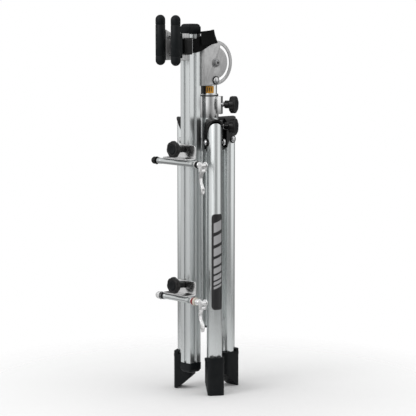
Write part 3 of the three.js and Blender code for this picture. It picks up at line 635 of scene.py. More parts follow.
def hood():
    x = LEG_OFFSET
    shell = joined(
        moved(rod(HOOD_RADIUS, HUB_BOTTOM_Z, HUB_TOP_Z, FINE), x),
        block(LEG_STOP_OFFSET - 4, x, -HOOD_RADIUS, HOOD_RADIUS, HUB_BOTTOM_Z, HUB_TOP_Z),
        block(20, LEG_STOP_OFFSET, -HOOD_WEB_HALF, HOOD_WEB_HALF, HUB_BOTTOM_Z, HUB_TOP_Z),
    )
    roof, lobe_x = x + LEG_RADIUS, x - 3
    mouth = [(roof, HOOD_CEILING_Z), (roof + 20, HOOD_CEILING_Z), (roof + 20, HUB_BOTTOM_Z - 5)]
    mouth += [(lobe_x - 26, HUB_BOTTOM_Z - 5), (lobe_x, LEG_PIVOT_Z + 12)]
    shell = cut(
        shell,
        slab(mouth, 30),
        block(roof, roof + 20, -30, 30, HUB_BOTTOM_Z, HUB_TOP_Z + 5),
        above_arch(HUB_TOP_Z - HOOD_ARCH_Z),
    )
    lobe = along_y(rod(PIVOT_LOBE_RADIUS, -HOOD_RADIUS, HOOD_RADIUS, FINE))
    shell = joined(shell, moved(lobe, x, 0, LEG_PIVOT_Z))
    half = LEG_RADIUS + 0.6
    low = HUB_BOTTOM_Z - 10
    room = joined(
        moved(rod(half, low, HOOD_CEILING_Z + 1, FINE), x),
        block(LEG_STOP_OFFSET, x, -half, half, low, HOOD_CEILING_Z + 1),
    )
    shell = cut(
        shell,
        cut(room, above_arch(HOOD_CEILING_Z - HOOD_ARCH_Z)),
        block(LEG_CLEAR_OFFSET, x, -half, half, low, LEG_PIVOT_Z + 15),
        block(x, x + half, -half, half, low, LEG_PIVOT_Z + 15),
        drill(BOLT_BORE, 30, x, LEG_PIVOT_Z),
        rod(SLEEVE_RADIUS + GAP, low, HUB_TOP_Z + 5, FINE),
    )
    return bevelled(shell, 0.9, 3)


for index, angle in enumerate(LEG_ANGLES, 1):
    body = f"leg_{index}"
    piece(f"tube_of_leg_{index}", turned(leg_tube(), angle), SATIN, body, f"leg_tube_{index}")
    piece(f"boot_{index}", turned(boot(), angle), RUBBER, body, f"foot_{index}")
    piece(f"pivot_bolt_{index}", turned(pivot_bolt(), angle), ZINC, "hub", f"leg_pivot_bolt_{index}")
    piece(f"hood_{index}", turned(hood(), angle), PLASTIC, "hub", f"leg_hood_{index}")

# The printed panel on the third leg: a dark film with plain slanted bars.
LABEL_Z0, LABEL_Z1, LABEL_A0, LABEL_A1 = 215, 454, 205, 302


def on_leg_3(mesh):
    a = math.radians(LEG_ANGLES[2])
    return moved(mesh, LEG_OFFSET * math.cos(a), LEG_OFFSET * math.sin(a))


panel = patch(LEG_RADIUS, LABEL_A0, LABEL_A1, LABEL_Z0, LABEL_Z1, corner=9)
piece("leg_panel", on_leg_3(panel), LABEL_BLACK, "leg_3")
BARS = ((266, 272), (276, 284), (288, 299), (304, 318), (324, 341), (348, 368), (376, 398), (407, 431))
for index, (z0, z1) in enumerate(BARS):
    bar = patch(LEG_RADIUS + 0.12, 222, 290, z0, z1, corner=1.5, slant=9, lift=0.06)
    piece(f"leg_panel_bar_{index + 1}", on_leg_3(bar), LABEL_SILVER, "leg_3")


# ---- hub sleeve, collar and mast ----
def at_knob(mesh, z):
    """Lays a shape drawn along Z out towards the clamp knobs, at height z."""
    return turned(moved(along_x(mesh), z=z), KNOB_ANGLE)


def clamp_sleeve(z0, z1, boss_z0, boss_z1, screw_z, slit):
    """A sleeve with a boss for its clamp screw. The collar also has a slit."""
    neck = SLEEVE_RADIUS + 5.4
    reach = BOSS_REACH - 1.5
    outline = [(23.2, -4.6), (neck, -4.6), (neck, -9), (reach, -9)]
    outline += [(x, -y) for x, y in reversed(outline)]
    boss = turned(prism(outline, boss_z0, boss_z1), KNOB_ANGLE)
    sleeve = joined(rod(SLEEVE_RADIUS, z0, z1, FINE), boss)
    cuts = [rod(22.8, z0 - 5, z1 + 5, FINE), at_knob(rod(BOLT_BORE, 20, 45), screw_z)]
    if slit:
        cuts.append(turned(block(15, 60, -0.9, 0.9, z0 - 5, z1 + 5), KNOB_ANGLE))
    return bevelled(cut(sleeve, *cuts), 0.7, 3)


sleeve = clamp_sleeve(HUB_BOTTOM_Z, HUB_TOP_Z, HUB_KNOB_Z - 15, HUB_KNOB_Z + 15, HUB_KNOB_Z, False)
piece("hub_tube_sleeve", sleeve, SLEEVE_SATIN, "hub", "hub_sleeve")
collar = clamp_sleeve(HUB_TOP_Z + GAP, COLLAR_TOP_Z, COLLAR_TOP_Z - 44, COLLAR_TOP_Z, MAST_KNOB_Z, True)
piece("clamp_collar", collar, POLISHED, "outer_mast", "mast_collar")

bore = OUTER_MAST_RADIUS - OUTER_MAST_WALL
outer_mast = soft_ring(OUTER_MAST_RADIUS, bore, OUTER_MAST_BOTTOM_Z, OUTER_MAST_TOP_Z, 0.4)
piece("lower_mast", outer_mast, SATIN, "outer_mast", "outer_mast_tube")
bottom = OUTER_MAST_BOTTOM_Z
plug = [(0, bottom - 6), (18, bottom - 6), (22.5, bottom - 3.4), (22.5, bottom - GAP), (20.6, bottom - GAP)]
plug = spun(plug + [(20.6, bottom + 20), (0, bottom + 20)], 1)
piece("lower_mast_plug", plug, PLASTIC, "outer_mast", "outer_mast_plug")
top = COLLAR_TOP_Z + GAP
bush = [(20.3, 735), (20.3, 725.3), (22.5, 725.3), (22.5, top), (23.5, top), (23.5, top + 2.2)]
bush += [(20.3, top + 2.2), (20.3, 735)]
piece("mast_glide_bush", spun(bush, 0.5), PLASTIC, "swivel_bush", "mast_bush")
stop = soft_ring(23.3, 20.3, COLLAR_TOP_Z + 2.8, COLLAR_TOP_Z + 5.5, 0.6)
piece("stop_ring", stop, POLISHED, "inner_mast", "mast_stop_ring")
inner_mast = cut(
    ring(INNER_MAST_RADIUS, INNER_MAST_RADIUS - INNER_MAST_WALL, INNER_MAST_BOTTOM_Z, INNER_MAST_TOP_Z),
    drill(PIVOT_BORE, 30, 0, TILT_Z),
    drill(STUD_BORE, 30, 0, TILT_Z - SLOT_RADIUS),
)
piece("upper_mast", bevelled(inner_mast, 0.4, 2, 50), SATIN, "inner_mast", "inner_mast_tube")
top = INNER_MAST_TOP_Z
plug = [(0, top - 14), (17.9, top - 14), (17.9, top - 1.5), (14, top), (12.5, top - 2), (0, top - 2)]
plug = spun(plug, 1)
piece("upper_mast_plug", plug, PLASTIC, "inner_mast", "inner_mast_plug")
piece("mast_mark_dark", patch(INNER_MAST_RADIUS, 128, 206, 746, 766, 1.5), LABEL_BLACK, "inner_mast")
piece("mast_mark_yellow", patch(INNER_MAST_RADIUS, 206, 264, 748, 766, 1.5), BAND_YELLOW, "inner_mast")
for index, angle in enumerate((214, 228, 242)):
    bar = patch(INNER_MAST_RADIUS + 0.12, angle, angle + 6, 752, 762, 0.5, lift=0.06)
    piece(f"mast_mark_bar_{index + 1}", bar, LABEL_BLACK, "inner_mast")


# ---- clamp knobs ----
def clamp_knob():
    profile = [(0, 44.5), (6, 41.5), (9.7, 41.5), (9.7, 53), (13, 55.5), (21.6, 57.2)]
    profile += [(21.6, 69.4), (18.5, 72), (13.5, 72), (12.6, 70.6), (0, 70.6)]
    return spun(profile, 1.8, 5, 120, lobed(7, 0.07, 14.5))


def knob_screw():
    profile = [(0, 23.2), (4, 23.2), (4, 35.3), (7.2, 35.3), (7.2, 37)]
    profile += [(5.6, 37.4), (5.6, 39), (3.6, 41.2), (0, 41.2)]
    return spun(profile, 0.35, sides=SMALL)


for name, z in (("mast", MAST_KNOB_Z), ("hub", HUB_KNOB_Z)):
    knob = at_knob(clamp_knob(), z)
    screw = at_knob(knob_screw(), z)
    insert = at_knob(spun([(0, 70.7), (11.8, 70.7), (11.2, 71.4), (0, 71.6)], 0.3), z)
    piece(f"{name}_knob_head", knob, KNOB_PLASTIC, f"{name}_knob", f"{name}_clamp_knob")
    piece(f"{name}_knob_stud", screw, ZINC, f"{name}_knob", f"{name}_clamp_screw")
    piece(f"{name}_knob_insert", insert, CAP_RUBBER, f"{name}_knob")


# ---- tilt head ----
def sector_bracket():
    z0, z1 = TILT_Z - SECTOR_RADIUS - 10, TILT_Z + SECTOR_RADIUS + 10
    outer_y = SECTOR_INNER_Y + PLATE
    channel = prism(rounded(SECTOR_WEB_X, 100, -outer_y, outer_y, 6), z0, z1)
    room = prism(rounded(SECTOR_WEB_X + PLATE, 120, -SECTOR_INNER_Y, SECTOR_INNER_Y, 3), z0 - 5, z1 + 5)
    face = [(SECTOR_WEB_X - 1, TILT_Z - SECTOR_RADIUS)] + arc(0, TILT_Z, SECTOR_RADIUS, -90, 90, 48)
    face += [(SECTOR_WEB_X - 1, TILT_Z + SECTOR_RADIUS)]
    start, end = (arc(0, TILT_Z, SLOT_RADIUS, a, a, 1)[0] for a in (SLOT_START, SLOT_END))
    slot = arc(0, TILT_Z, SLOT_RADIUS + SLOT_HALF_WIDTH, SLOT_START, SLOT_END, 48)
    slot += arc(*end, SLOT_HALF_WIDTH, SLOT_END, SLOT_END + 180, 8)[1:-1]
    slot += arc(0, TILT_Z, SLOT_RADIUS - SLOT_HALF_WIDTH, SLOT_END, SLOT_START, 48)
    slot += arc(*start, SLOT_HALF_WIDTH, SLOT_START + 180, SLOT_START + 360, 8)[1:-1]
    screws = [moved(along_x(rod(SCREW_BORE, -60, -30)), z=TILT_Z + dz) for dz in (-34, 34)]
    cuts = minus(room, slab(slot, 60), drill(PIVOT_BORE, 60, 0, TILT_Z), *screws)
    return bevelled(combined(channel, ("INTERSECT", slab(face, 60)), *cuts), 0.45, 2)


piece("sector_channel", sector_bracket(), BRUSHED, "rail_head", "sector_bracket")

WASHER_Y = SECTOR_INNER_Y + PLATE + GAP
near, far = -WASHER_Y, WASHER_Y
pivot = joined(
    rod(5, near - 3, far + 3),
    soft_ring(11, 4, near - 1.6, near, 0.5),
    spun([(0, near - 7), (5.6, near - 7), (8.4, near - 5.4), (8.8, near - 1.4), (0, near - 1.4)], 0.9),
    soft_ring(11, 4, far, far + 1.6, 0.5),
    hexagon(8.5, far + 1.4, far + 7),
    spun([(0, far), (5, far), (5, far + 7.4), (4.2, far + 8), (0, far + 8)], 0.4, sides=SMALL),
)
pivot = cut(pivot, hexagon(4.1, near - 9, near - 3.4, 0))
pivot = moved(along_y(bevelled(pivot, 0.25)), z=TILT_Z)
piece("tilt_pivot", pivot, DARK_ZINC, "inner_mast", "tilt_pivot_bolt")
dome = [(0, near - 6.2), (3, near - 6), (6, near - 5), (8, near - 3.2), (8.8, near - 1.5), (0, near - 1.5)]
clamp = joined(rod(3.6, near - 2, far + 22), spun(dome, 1.2))
clamp_z = TILT_Z - SLOT_RADIUS
piece("tilt_clamp_dome", moved(along_y(clamp), z=clamp_z), ZINC, "inner_mast", "tilt_clamp_bolt")
washer = moved(along_y(soft_ring(10.4, 3.7, near - 1.4, near, 0.5)), z=clamp_z)
piece("tilt_clamp_washer", washer, CAP_RUBBER, "inner_mast")
lock = [(0, far), (9.5, far), (9.5, far + 12), (20, far + 15), (20, far + 26), (16, far + 29), (0, far + 29)]
lock = cut(spun(lock, 1.6, 5, 120, lobed(7, 0.07, 13)), rod(STUD_BORE, far - 1, far + 22.6))
piece("tilt_lock_head", moved(along_y(lock), z=clamp_z), KNOB_PLASTIC, "tilt_knob", "tilt_lock_knob")


# ---- rail ----
def rail_outline():
    """Four equal quarters, each with a T-slot in the middle of its face."""
    corner, halves = 2.6, (RAIL_HALF_DEPTH, RAIL_HALF_WIDTH)
    points = []
    for quarter in range(4):
        face, side = halves[quarter % 2], halves[1 - quarter % 2]
        run = [(0, -4.7), (0.7, -4), (2.6, -4), (2.6, -7), (4.6, -7), (8, -4)]
        run = [(face - depth, y) for depth, y in run]
        run += [(x, -y) for x, y in reversed(run)]
        run += arc(face - corner, side - corner, corner, 0, 90, 5)
        a = math.radians(90 * quarter)
        points += [(x * math.cos(a) - y * math.sin(a), x * math.sin(a) + y * math.cos(a)) for x, y in run]
    return points


bore = arc(0, 0, 4, 0, 352.5, 47)
rail = moved(prism(rail_outline(), RAIL_BOTTOM_Z, RAIL_TOP_Z, [bore]), RAIL_MID_X)
piece("t_slot_rail", rail, RAIL_SATIN, "rail_head", "rail", sharp=40)


def end_cap():
    """A cap with a shallow step and a domed crown, seated on Z = 0."""
    rows = [(-7, -0.9), (-6.4, -1.2), (10.5, -1.2), (11.2, -0.4)]
    crown = 6.5
    for degrees in range(0, 91, 10):
        a = math.radians(degrees)
        rows.append((11.2 + crown * math.sin(a), 0.5 + crown * (1 - math.cos(a))))
    stations = [(Vector((RAIL_MID_X, 0, z)), Vector((1, 0, 0)), Vector((0, 1, 0))) for z, inset in rows]

    def section(i):
        inset = rows[i][1]
        w, h = RAIL_HALF_DEPTH - inset, RAIL_HALF_WIDTH - inset
        return rounded(-w, w, -h, h, max(1.2, 4.4 - inset * 0.4), 6)

    room = prism(rounded(-RAIL_HALF_DEPTH, RAIL_HALF_DEPTH, -RAIL_HALF_WIDTH, RAIL_HALF_WIDTH, 2.6), -20, 0)
    shell = cut(swept(stations, section), moved(room, RAIL_MID_X))
    return joined(shell, moved(rod(3.6, -14, 4), RAIL_MID_X))


piece("rail_cap_upper", moved(end_cap(), z=RAIL_TOP_Z + GAP), CAP_RUBBER, "rail_head", "rail_top_cap")
lower = moved(turned(moved(end_cap(), -RAIL_MID_X), 180, "X"), RAIL_MID_X, 0, RAIL_BOTTOM_Z - GAP)
piece("rail_cap_lower", lower, CAP_RUBBER, "rail_head", "rail_bottom_cap")


# ---- cradle ----
def cradle_bracket():
    channel = rounded(-170, ARM_BASE_X, -ARM_OUTER_Y, ARM_OUTER_Y, 5)
    channel = prism(channel, ARM_BOTTOM_Z - 10, ARM_FRONT_TOP_Z + 10)
    room = rounded(-180, ARM_BASE_X - PLATE, -ARM_INNER_Y, ARM_INNER_Y, 2)
    room = prism(room, ARM_BOTTOM_Z - 15, ARM_FRONT_TOP_Z + 15)
    face = [(ARM_BASE_X + 1, ARM_BOTTOM_Z), (ARM_BASE_X + 1, ARM_TOP_Z), (ARM_BEND_X, ARM_TOP_Z)]
    face += [(ARM_FRONT_X, ARM_FRONT_TOP_Z), (ARM_FRONT_X, ARM_BOTTOM_Z)]
    slot = rounded(ARM_BEND_X - GAP, ARM_BEND_X + 2.1, STRAP_BOTTOM_Z - 1, STRAP_TOP_Z + 1, 1)
    bolts = [drill(SCREW_BORE, 60, PAD_BOLT_X, z) for z in PAD_BOLT_ZS]
    screws = [moved(along_x(rod(SCREW_BORE, -100, -60)), z=z) for z in (ARM_BOTTOM_Z + 10, ARM_TOP_Z - 6)]
    cuts = minus(room, slab(slot, 60), *bolts, *screws)
    return bevelled(combined(channel, ("INTERSECT", slab(face, 60)), *cuts), 0.5, 3)


piece("cradle_channel", cradle_bracket(), BRUSHED_ARM, "rail_head", "cradle_bracket")


def cap_screw(radius, height, z):
    """A socket head on Z = z, its top above it."""
    head = spun([(0, z), (radius, z), (radius, z + height), (0, z + height)], 0.7, sides=SMALL)
    return cut(head, hexagon(radius * 0.5, z + height - 1.8, z + height + 2, 0))


def pad(side):
    profile = arc(0, PAD_BOTTOM_Z + PAD_RADIUS, PAD_RADIUS, -90, 0, 12)
    profile[0] = (0, PAD_BOTTOM_Z)
    ribs = [(PAD_RADIUS, PAD_BOTTOM_Z + 20)]
    for z in (PAD_BOTTOM_Z + 22, PAD_TOP_Z - 24):
        ribs += [(PAD_RADIUS, z - 1.2), (PAD_RADIUS - 0.7, z), (PAD_RADIUS, z + 1.2)]
    profile += ribs + [(r, PAD_TOP_Z + PAD_BOTTOM_Z - z) for r, z in reversed(profile)]
    capsule = moved(lathe(profile, FINE), PAD_X, side * PAD_Y)
    y0, y1 = sorted((side * (ARM_OUTER_Y + GAP), side * (PAD_Y - 1)))
    lug = bevelled(block(PAD_X + 4, ARM_FRONT_X + 15, y0, y1, ARM_BOTTOM_Z + 6, ARM_FRONT_TOP_Z - 8), 1.6, 3)
    a0, a1 = sorted((side * (ARM_INNER_Y - GAP), side * (ARM_OUTER_Y + GAP)))
    room = block(ARM_FRONT_X - GAP, ARM_FRONT_X + 20, a0, a1, ARM_BOTTOM_Z - GAP, ARM_FRONT_TOP_Z + GAP)
    b0, b1 = sorted((side * 16, side * (PAD_Y - 4)))
    bores = [moved(along_y(rod(SCREW_BORE, b0, b1)), PAD_BOLT_X, 0, z) for z in PAD_BOLT_ZS]
    return cut(joined(capsule, lug), room, *bores)


for name, side in (("near", -1), ("far", 1)):
    cushion = piece(f"frame_pad_{name}", pad(side), PAD_RUBBER, "rail_head", f"pad_{name}")
    for index, z in enumerate(PAD_BOLT_ZS, 1):
        bolt = joined(cap_screw(5.2, 4, 0), rod(3, -10, 1))
        bolt = along_y(moved(bolt, z=-(ARM_INNER_Y - GAP)))
        bolt = moved(turned(bolt, 180, "Z") if side > 0 else bolt, PAD_BOLT_X, 0, z)
        piece(f"pad_screw_{name}_{index}", bolt, ZINC, "rail_head", f"pad_bolt_{name}_{index}")


# ---- strap ----
def ribbon(path, ups, width, thickness):
    """Webbing stood on edge along a path, with rolled selvedges. ups says which way is up at each point."""
    half, t = width / 2, thickness / 2
    stations = []
    for i, (point, up) in enumerate(zip(path, ups)):
        along = (path[min(i + 1, len(path) - 1)] - path[max(i - 1, 0)]).normalized()
        u = (up - along * up.dot(along)).normalized()
        stations.append((point, u, along.cross(u)))
    edge = [(half - 0.9, t), (half - 0.25, t * 0.8), (half, 0), (half - 0.25, -t * 0.8), (half - 0.9, -t)]
    side = [(x, -t) for x in (half * 0.5, 0, -half * 0.5)]
    section = edge + side + [(-u, v) for u, v in reversed(edge)] + [(-u, -v) for u, v in side]
    return swept(stations, lambda i: section)


STRAP_MID_Z = (STRAP_BOTTOM_Z + STRAP_TOP_Z) / 2
STRAP_Y = ARM_OUTER_Y + GAP + STRAP_THICKNESS / 2
STRAP_X = ARM_BEND_X + STRAP_THICKNESS / 2
TAIL_Y = -(SECTOR_INNER_Y + PLATE + 1 + STRAP_THICKNESS / 2)


# (x, distance out from the bracket, z) of the strap's free end, which folds back over itself
TAIL_KNOTS = (
    *((-71, -1.6, 866.9), (-62, 0.4, 868.5), (-48, 1.6, 874), (-34, 2.6, 881), (-21, 2.8, 886)),
    *((-13, 4, 888.5), (-10.5, 6.6, 889), (-13, 9.2, 888.5), (-23, 8.8, 887), (-40, 6.8, 885.5)),
    (-56, 6.4, 884.5),
)


def strap():
    corner = 3
    run = [(-60, STRAP_Y), (-80, STRAP_Y)]
    run += arc(STRAP_X + corner, STRAP_Y - corner, corner, 90, 180, 5)
    run += [(STRAP_X, 6), (STRAP_X, -6)]
    run += arc(STRAP_X + corner, -STRAP_Y + corner, corner, 180, 270, 5)
    run += [(-90, -STRAP_Y), (-78, -STRAP_Y - 0.3)]
    start = [Vector((x, y, STRAP_MID_Z)) for x, y in run]
    tail = smooth_path([(x, TAIL_Y - out, z) for x, out, z in TAIL_KNOTS])
    # The fold at the end leans back over the strap.
    ups = [Vector((0, 0, 1))] * len(start) + [Vector((-0.45, 0, 1)).normalized()] * len(tail)
    return ribbon(start + tail, ups, STRAP_TOP_Z - STRAP_BOTTOM_Z, STRAP_THICKNESS - 0.1)


piece("strap_ribbon", strap(), WEBBING, "rail_head", "strap", sharp=50)
stitches = bmesh.new()
for x in (-80, -77.5):
    for k in range(9):
        z = STRAP_BOTTOM_Z + 3 + k * 3.6
        stitches.from_mesh(moved(rod(0.5, 0, 2.4, 8), x, -STRAP_Y - 1.2, z))
stitching = mesh_from(stitches)
piece("strap_stitching", stitching, LABEL_SILVER, "rail_head")

buckle_y = -STRAP_Y - STRAP_THICKNESS / 2 - GAP
body = bevelled(block(-104, -80, buckle_y - 5, buckle_y, STRAP_BOTTOM_Z - 3, STRAP_TOP_Z + 3), 1.4, 3)
flap_outline = [(-102, 0), (-102, -2.2), (-97, -4.4), (-88, -4.6), (-81, -2.6), (-80.5, 0)]
flap = moved(prism(flap_outline, STRAP_BOTTOM_Z + 1, STRAP_TOP_Z - 1), 0, buckle_y - 4)
grips = [moved(rod(0.7, STRAP_BOTTOM_Z + 4, STRAP_TOP_Z - 4, 12), x, buckle_y - 8.5) for x in (-96, -93, -90)]
buckle = cut(joined(body, bevelled(flap, 0.8, 3)), *grips)
piece("cam_buckle", buckle, PLASTIC, "rail_head", "strap_buckle")
pin = moved(rod(1.5, STRAP_BOTTOM_Z - 1, STRAP_TOP_Z + 1, 20, 0.4), -78.6, buckle_y - 2.4)
piece("buckle_pin", pin, ZINC, "rail_head")


# ---- axle carriages: drawn with the axle at Z = 0, then lifted ----
FRONT_X = CARRIAGE_PLATE_X - PLATE


def carriage_plate():
    lip, bend = AXLE_X - 6, 4.5
    cx, cz = CARRIAGE_PLATE_X - bend, SHELF_RISE + bend
    profile = [(lip, SHELF_RISE)] + arc(cx, cz, bend, -90, 0, 8)
    profile += [(CARRIAGE_PLATE_X, CARRIAGE_TOP_RISE), (FRONT_X, CARRIAGE_TOP_RISE)]
    profile += arc(cx, cz, bend - PLATE, 0, -90, 5) + [(lip, SHELF_RISE + PLATE)]
    half = CARRIAGE_HALF_WIDTH
    angle = slab(profile, half)
    face = across(prism(rounded(-half, half, -20, CARRIAGE_TOP_RISE, 7), -140, -60))
    shelf = prism(rounded(lip, -50, -half, half, 5), -10, 60)
    hole = moved(along_x(rod(STUD_BORE, -100, -60)), z=KNOB_RISE)
    shape = combined(angle, ("INTERSECT", face), ("INTERSECT", shelf), *minus(hole))
    return bevelled(shape, 0.7, 3)


def on_plate(mesh):
    """A shape drawn along Z stands out from the front of the carriage plate."""
    return moved(turned(mesh, -90, "Y"), FRONT_X - GAP, 0, KNOB_RISE)


def carriage_knob():
    profile = [(0, 0), (9, 0), (9, 20), (13, 23.5), (21, 26.4)]
    profile += [(21, 34.2), (18.6, 37), (14, 37), (13.2, 35.8), (0, 35.8)]
    return on_plate(cut(spun(profile, 1.7, 5, 120, lobed(7, 0.06, 14.5)), rod(STUD_BORE, -1, 22.6)))


def knob_disc():
    profile = [(0, 35.9), (12.6, 35.9), (12, 36.6), (9, 36.9), (3.5, 36.2), (0, 36.2)]
    return on_plate(spun(profile, 0.4))


def axle_tube(half):
    """The middle is turned down a little between two bright end bosses."""
    bore, boss, waist = 2.8, AXLE_RADIUS, AXLE_RADIUS - 0.7
    profile = [(bore, 0), (bore, -half), (boss, -half), (boss, -half + 12), (waist, -half + 12.7)]
    profile += [(waist, half - 12.7), (boss, half - 12), (boss, half), (bore, half), (bore, 0)]
    return moved(along_y(spun(profile, 0.4)), AXLE_X)


CAM_END = CAM_Y + 8.3  # face of the cam body that the lever turns against


def skewer(half):
    start = -half - 9
    body = [(0, CAM_END), (6.4, CAM_END), (8.2, CAM_END + 2), (8.2, start - 4), (7.4, start - 3.4)]
    body += [(7.4, start - 2.7), (9.2, start - 2.2), (9.2, start), (0, start)]
    parts = [along_y(spun(body, 0.5)), along_y(rod(6, CAM_Y, CAM_END + 1))]
    parts += [moved(along_x(rod(r, -x, x, SMALL, 0.5)), y=CAM_Y) for r, x in ((6, 5.8), (2, 10.6))]
    return moved(joined(along_y(rod(2.5, CAM_Y, half + 16)), *parts), AXLE_X)


def lever(name):
    """Two eyes on the cam pin, a yoke, and a bowed arm that ends in a spoon or a ribbed grip."""
    eyes = [along_x(spun([(0, x), (8, x), (8, x + 3.2), (0, x + 3.2)], 0.8)) for x in (-9.6, 6.4)]
    cheeks = [bevelled(block(x, x + 3.2, -3.6, 5.6, -14, -2), 0.8) for x in (-9.6, 6.4)]
    yoke = bevelled(block(-9.6, 9.6, -2.6, 6.2, -17.5, -8.8), 1.8, 4)
    if name == "upper":
        knots = [(2, -12), (5.6, -22), (7.6, -32), (6, -42), (2.2, -50), (-0.4, -58), (-0.6, -66), (0.4, -72)]
        widths = (8.5, 6.2, 4.8, 4.0, 4.2, 5.6, 6.0, 3.2)
        depths = (3.2, 2.7, 2.4, 2.3, 2.3, 2.1, 1.9, 1.2)
    else:
        knots = [(2, -12), (7, -20), (9.4, -30), (8.4, -40), (4, -48), (1.4, -54), (0.2, -63), (0.4, -72)]
        widths = (8.5, 6.2, 4.9, 4.5, 5.0, 5.6, 5.5, 4.2)
        depths = (3.2, 2.5, 2.3, 2.4, 2.8, 3.2, 3.1, 1.8)
    path = smooth_path([(0, y, z) for y, z in knots], 6)
    steps = len(path) - 1

    round_the_arm = [2 * math.pi * k / 28 for k in range(28)]

    def blunt(x):
        """Squares up a circle's sine or cosine."""
        return math.copysign(abs(x) ** 0.55, x)

    def value(table, i):
        place = i / steps * (len(table) - 1)
        k = min(int(place), len(table) - 2)
        return table[k] + (table[k + 1] - table[k]) * (place - k)

    def section(i):
        a, b = value(widths, i), value(depths, i)
        return [(a * blunt(math.cos(t)), b * blunt(math.sin(t))) for t in round_the_arm]

    arm = swept(stations_along(path, (1, 0, 0)), section)
    cuts = [along_x(rod(6.3, -6.3, 6.3)), along_x(rod(2.3, -12, 12))]
    if name == "upper":
        dish = lathe([(0, -9), (5, -8.4), (8.2, -6), (9, 0), (8.2, 6), (5, 8.4), (0, 9)], SMALL)
        dish.transform(Matrix.Diagonal((0.5, 0.32, 0.75, 1)))
        cuts.append(moved(dish, 0, -3.4, -63))
    else:
        for z in (-55, -59, -63, -67):
            cuts += [moved(along_x(rod(0.8, -9, 9, 12)), 0, y, z) for y in (-3.3, 4.1)]
    return moved(cut(joined(yoke, *eyes, *cheeks, arm), *cuts), AXLE_X, CAM_Y)


def skewer_nut(name, half):
    y = half + 5
    profile = [(0, 0), (10, 0), (10, 1.4), (8.6, 2.6), (9, 4), (9, 11), (6.6, 15), (0, 15)]
    profile = [(r, y + out) for r, out in profile]
    count, depth = (8, 0.1) if name == "upper" else (18, 0.05)
    nut = spun(profile, 0.6, 3, 144, lobed(count, depth, 8.7))
    return moved(along_y(cut(nut, rod(2.8, y - 1, half + 16.3))), AXLE_X)


for name, axle_z, half in CARRIAGES:
    carriage = f"{name}_carriage"

    def fitted(label, mesh, material, body, replaced=None):
        piece(f"{name}_{label}", moved(mesh, z=axle_z), material, body, replaced)

    fitted("slide_plate", carriage_plate(), POLISHED, carriage, f"{name}_carriage_plate")
    fitted("knob_head", carriage_knob(), KNOB_PLASTIC, f"{name}_knob", f"{name}_carriage_knob")
    fitted("knob_disc", knob_disc(), CAP_RUBBER, f"{name}_knob")
    fitted("axle_barrel", axle_tube(half), AXLE_SATIN, carriage, f"{name}_axle_tube")
    fitted("skewer_body", skewer(half), POLISHED_CAM, carriage, f"{name}_skewer")
    fitted("cam_arm", lever(name), POLISHED_CAM, f"{name}_cam_lever", f"{name}_lever")
    nut, nut_material = skewer_nut(name, half), PLASTIC if name == "upper" else POLISHED_CAM
    fitted("thumb_nut", nut, nut_material, f"{name}_nut", f"{name}_skewer_nut")
    if name == "lower":
        rings = (
            ("tube_band", CAP_RUBBER, "black_plastic", 8.4, 7.2, half - 7, half - 0.5, 0.5),
            ("cam_o_ring", RED_RUBBER, "black_rubber", 9.6, 7, -half - 19, -half - 12.5, 1.4),
            ("cam_spacer", CREAM, None, 9.9, 7, -half - 25.5, -half - 19.5, 0.7),
        )
    else:
        rings = (("cam_sleeve", CAP_RUBBER, "black_plastic", 8.9, 7, -half - 20, -half - 12.5, 0.9),)
    for label, material, slot, *measures in rings:
        fitted(label, moved(along_y(soft_ring(*measures)), AXLE_X), material, carriage)

# ---- CAD nodes that stay as they are: mostly inside other pieces ----
KEPT = {
    ZINC: ("sector_screw_1", "sector_screw_2", "cradle_screw_1", "cradle_screw_2"),
    POLISHED_CAM: ("upper_carriage_t_bolt", "lower_carriage_t_bolt"),
    PLASTIC: ("upper_carriage_glide", "lower_carriage_glide"),
}
for material, names in KEPT.items():
    for name in names:
        nodes[name].data.materials.clear()
        nodes[name].data.materials.append(material)

# ---- floor, light and camera ----
FLOOR_SIZE = 8
FADE_START, FADE_END = 0.12, 0.75
bpy.ops.mesh.primitive_plane_add(size=FLOOR_SIZE, location=(0, 0, -0.0006))
floor = bpy.context.object
floor.name = "floor"
paint = Shader("pale_floor")
floor.data.materials.append(paint.material)
mottle = paint.noise(2.5, detail=5)
paint.set(Base_Color=paint.ramp(mottle, (0.3, grey(0.9)), (0.7, grey(0.93))), Roughness=0.7)
# Away from the stand the floor fades into the white surroundings.
reach = paint.add("VectorMath", "Value", {0: paint.where}, operation="LENGTH")
fade = paint.span(reach, 0.0, 1.0, FADE_START, FADE_END)
clear = paint.add("BsdfTransparent", 0, {})
blend = paint.add("MixShader", 0, {0: fade, 1: paint.bsdf.outputs[0], 2: clear})
paint.feed(paint.tree.nodes["Material Output"].inputs["Surface"], blend)

AZIMUTH, ELEVATION, DISTANCE, LENS = -42.5, 7, 5, 173
AIM_Z, AIM_LEFT = 0.4596, 0.0023
azimuth, elevation = math.radians(AZIMUTH), math.radians(ELEVATION)
image_right = Vector((math.cos(azimuth), math.sin(azimuth), 0))
level = math.cos(elevation)
towards = Vector((math.sin(azimuth) * level, -math.cos(azimuth) * level, math.sin(elevation)))
target = Vector((0, 0, AIM_Z)) - image_right * AIM_LEFT
lens = bpy.data.cameras.new("camera")
lens.lens = LENS
lens.sensor_width = 36
camera = placed("camera", lens)
camera.location = target + towards * DISTANCE
camera.rotation_euler = towards.to_track_quat("Z", "Y").to_euler()
scene.camera = camera


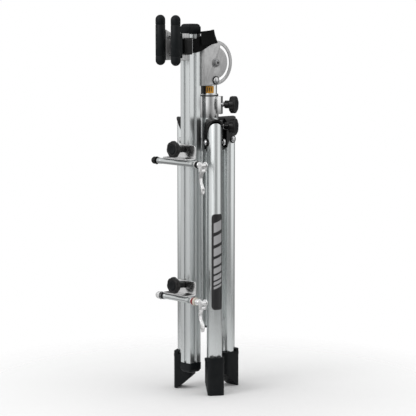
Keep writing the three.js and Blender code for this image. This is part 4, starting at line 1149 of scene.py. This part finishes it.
# (degrees round from the camera towards image right, brightness)
SKY_STOPS = (
    *((-179, 0.04), (-150, 0.12), (-122, 0.55), (-95, 0.95), (-62, 0.85), (-38, 1.35)),
    *((-20, 1.15), (-5, 0.8), (8, 0.45), (20, 0.28), (36, 0.42), (60, 0.95)),
    *((88, 1.15), (110, 0.5), (130, 0.12), (179, 0.04)),
)
ZENITH, GROUND = 1.0, 0.3


def studio_world():
    """White to the camera; to everything else a tent with a bright left side and a darker back."""
    world = bpy.data.worlds.new("studio")
    scene.world = world
    world.use_nodes = True
    world.node_tree.nodes.clear()
    g = Graph(world.node_tree)
    # The sky is turned so that its +X points at the camera.
    facing = (0, 0, -math.atan2(towards.y, towards.x))
    ray = {"Vector": g.add("TexCoord", "Generated", {}), "Rotation": facing}
    ray = g.add("Mapping", "Vector", ray, vector_type="POINT")
    x, y, z = g.add("SeparateXYZ", 0, {"Vector": ray}).node.outputs
    share = g.span(g.math("ARCTAN2", y, x), 0.0, 1.0, -math.pi, math.pi)
    sky = g.ramp(share, *((degrees / 360 + 0.5, grey(level)) for degrees, level in SKY_STOPS))
    sky = g.mixed(g.span(z, 0.0, 1.0, 0.25, 0.95), sky, (*grey(ZENITH), 1))
    # Below the horizon the surroundings are the dim studio floor.
    sky = g.mixed(g.span(z, 0.0, 1.0, -0.3, -0.02), (*grey(GROUND), 1), sky)
    tent = g.add("Background", 0, {"Color": sky})
    white = g.add("Background", 0, {"Color": (1, 1, 1, 1)})
    seen = g.add("LightPath", "Is Camera Ray", {})
    surface = g.add("MixShader", 0, {0: seen, 1: tent, 2: white})
    g.feed(g.tree.nodes.new("ShaderNodeOutputWorld").inputs["Surface"], surface)


studio_world()


def soft_light(name, degrees, height, size, power):
    """An area light round the camera's direction, aimed at the middle of the stand."""
    a = math.atan2(towards.y, towards.x) + math.radians(degrees)
    data = bpy.data.lights.new(name, "AREA")
    data.size = size
    data.energy = power
    lamp = placed(name, data)
    lamp.location = (3 * math.cos(a), 3 * math.sin(a), height)
    lamp.rotation_euler = (lamp.location - Vector((0, 0, 0.5))).to_track_quat("Z", "Y").to_euler()


soft_light("key", -50, 2.4, 1.4, 30)
scene.view_settings.view_transform = "Standard"
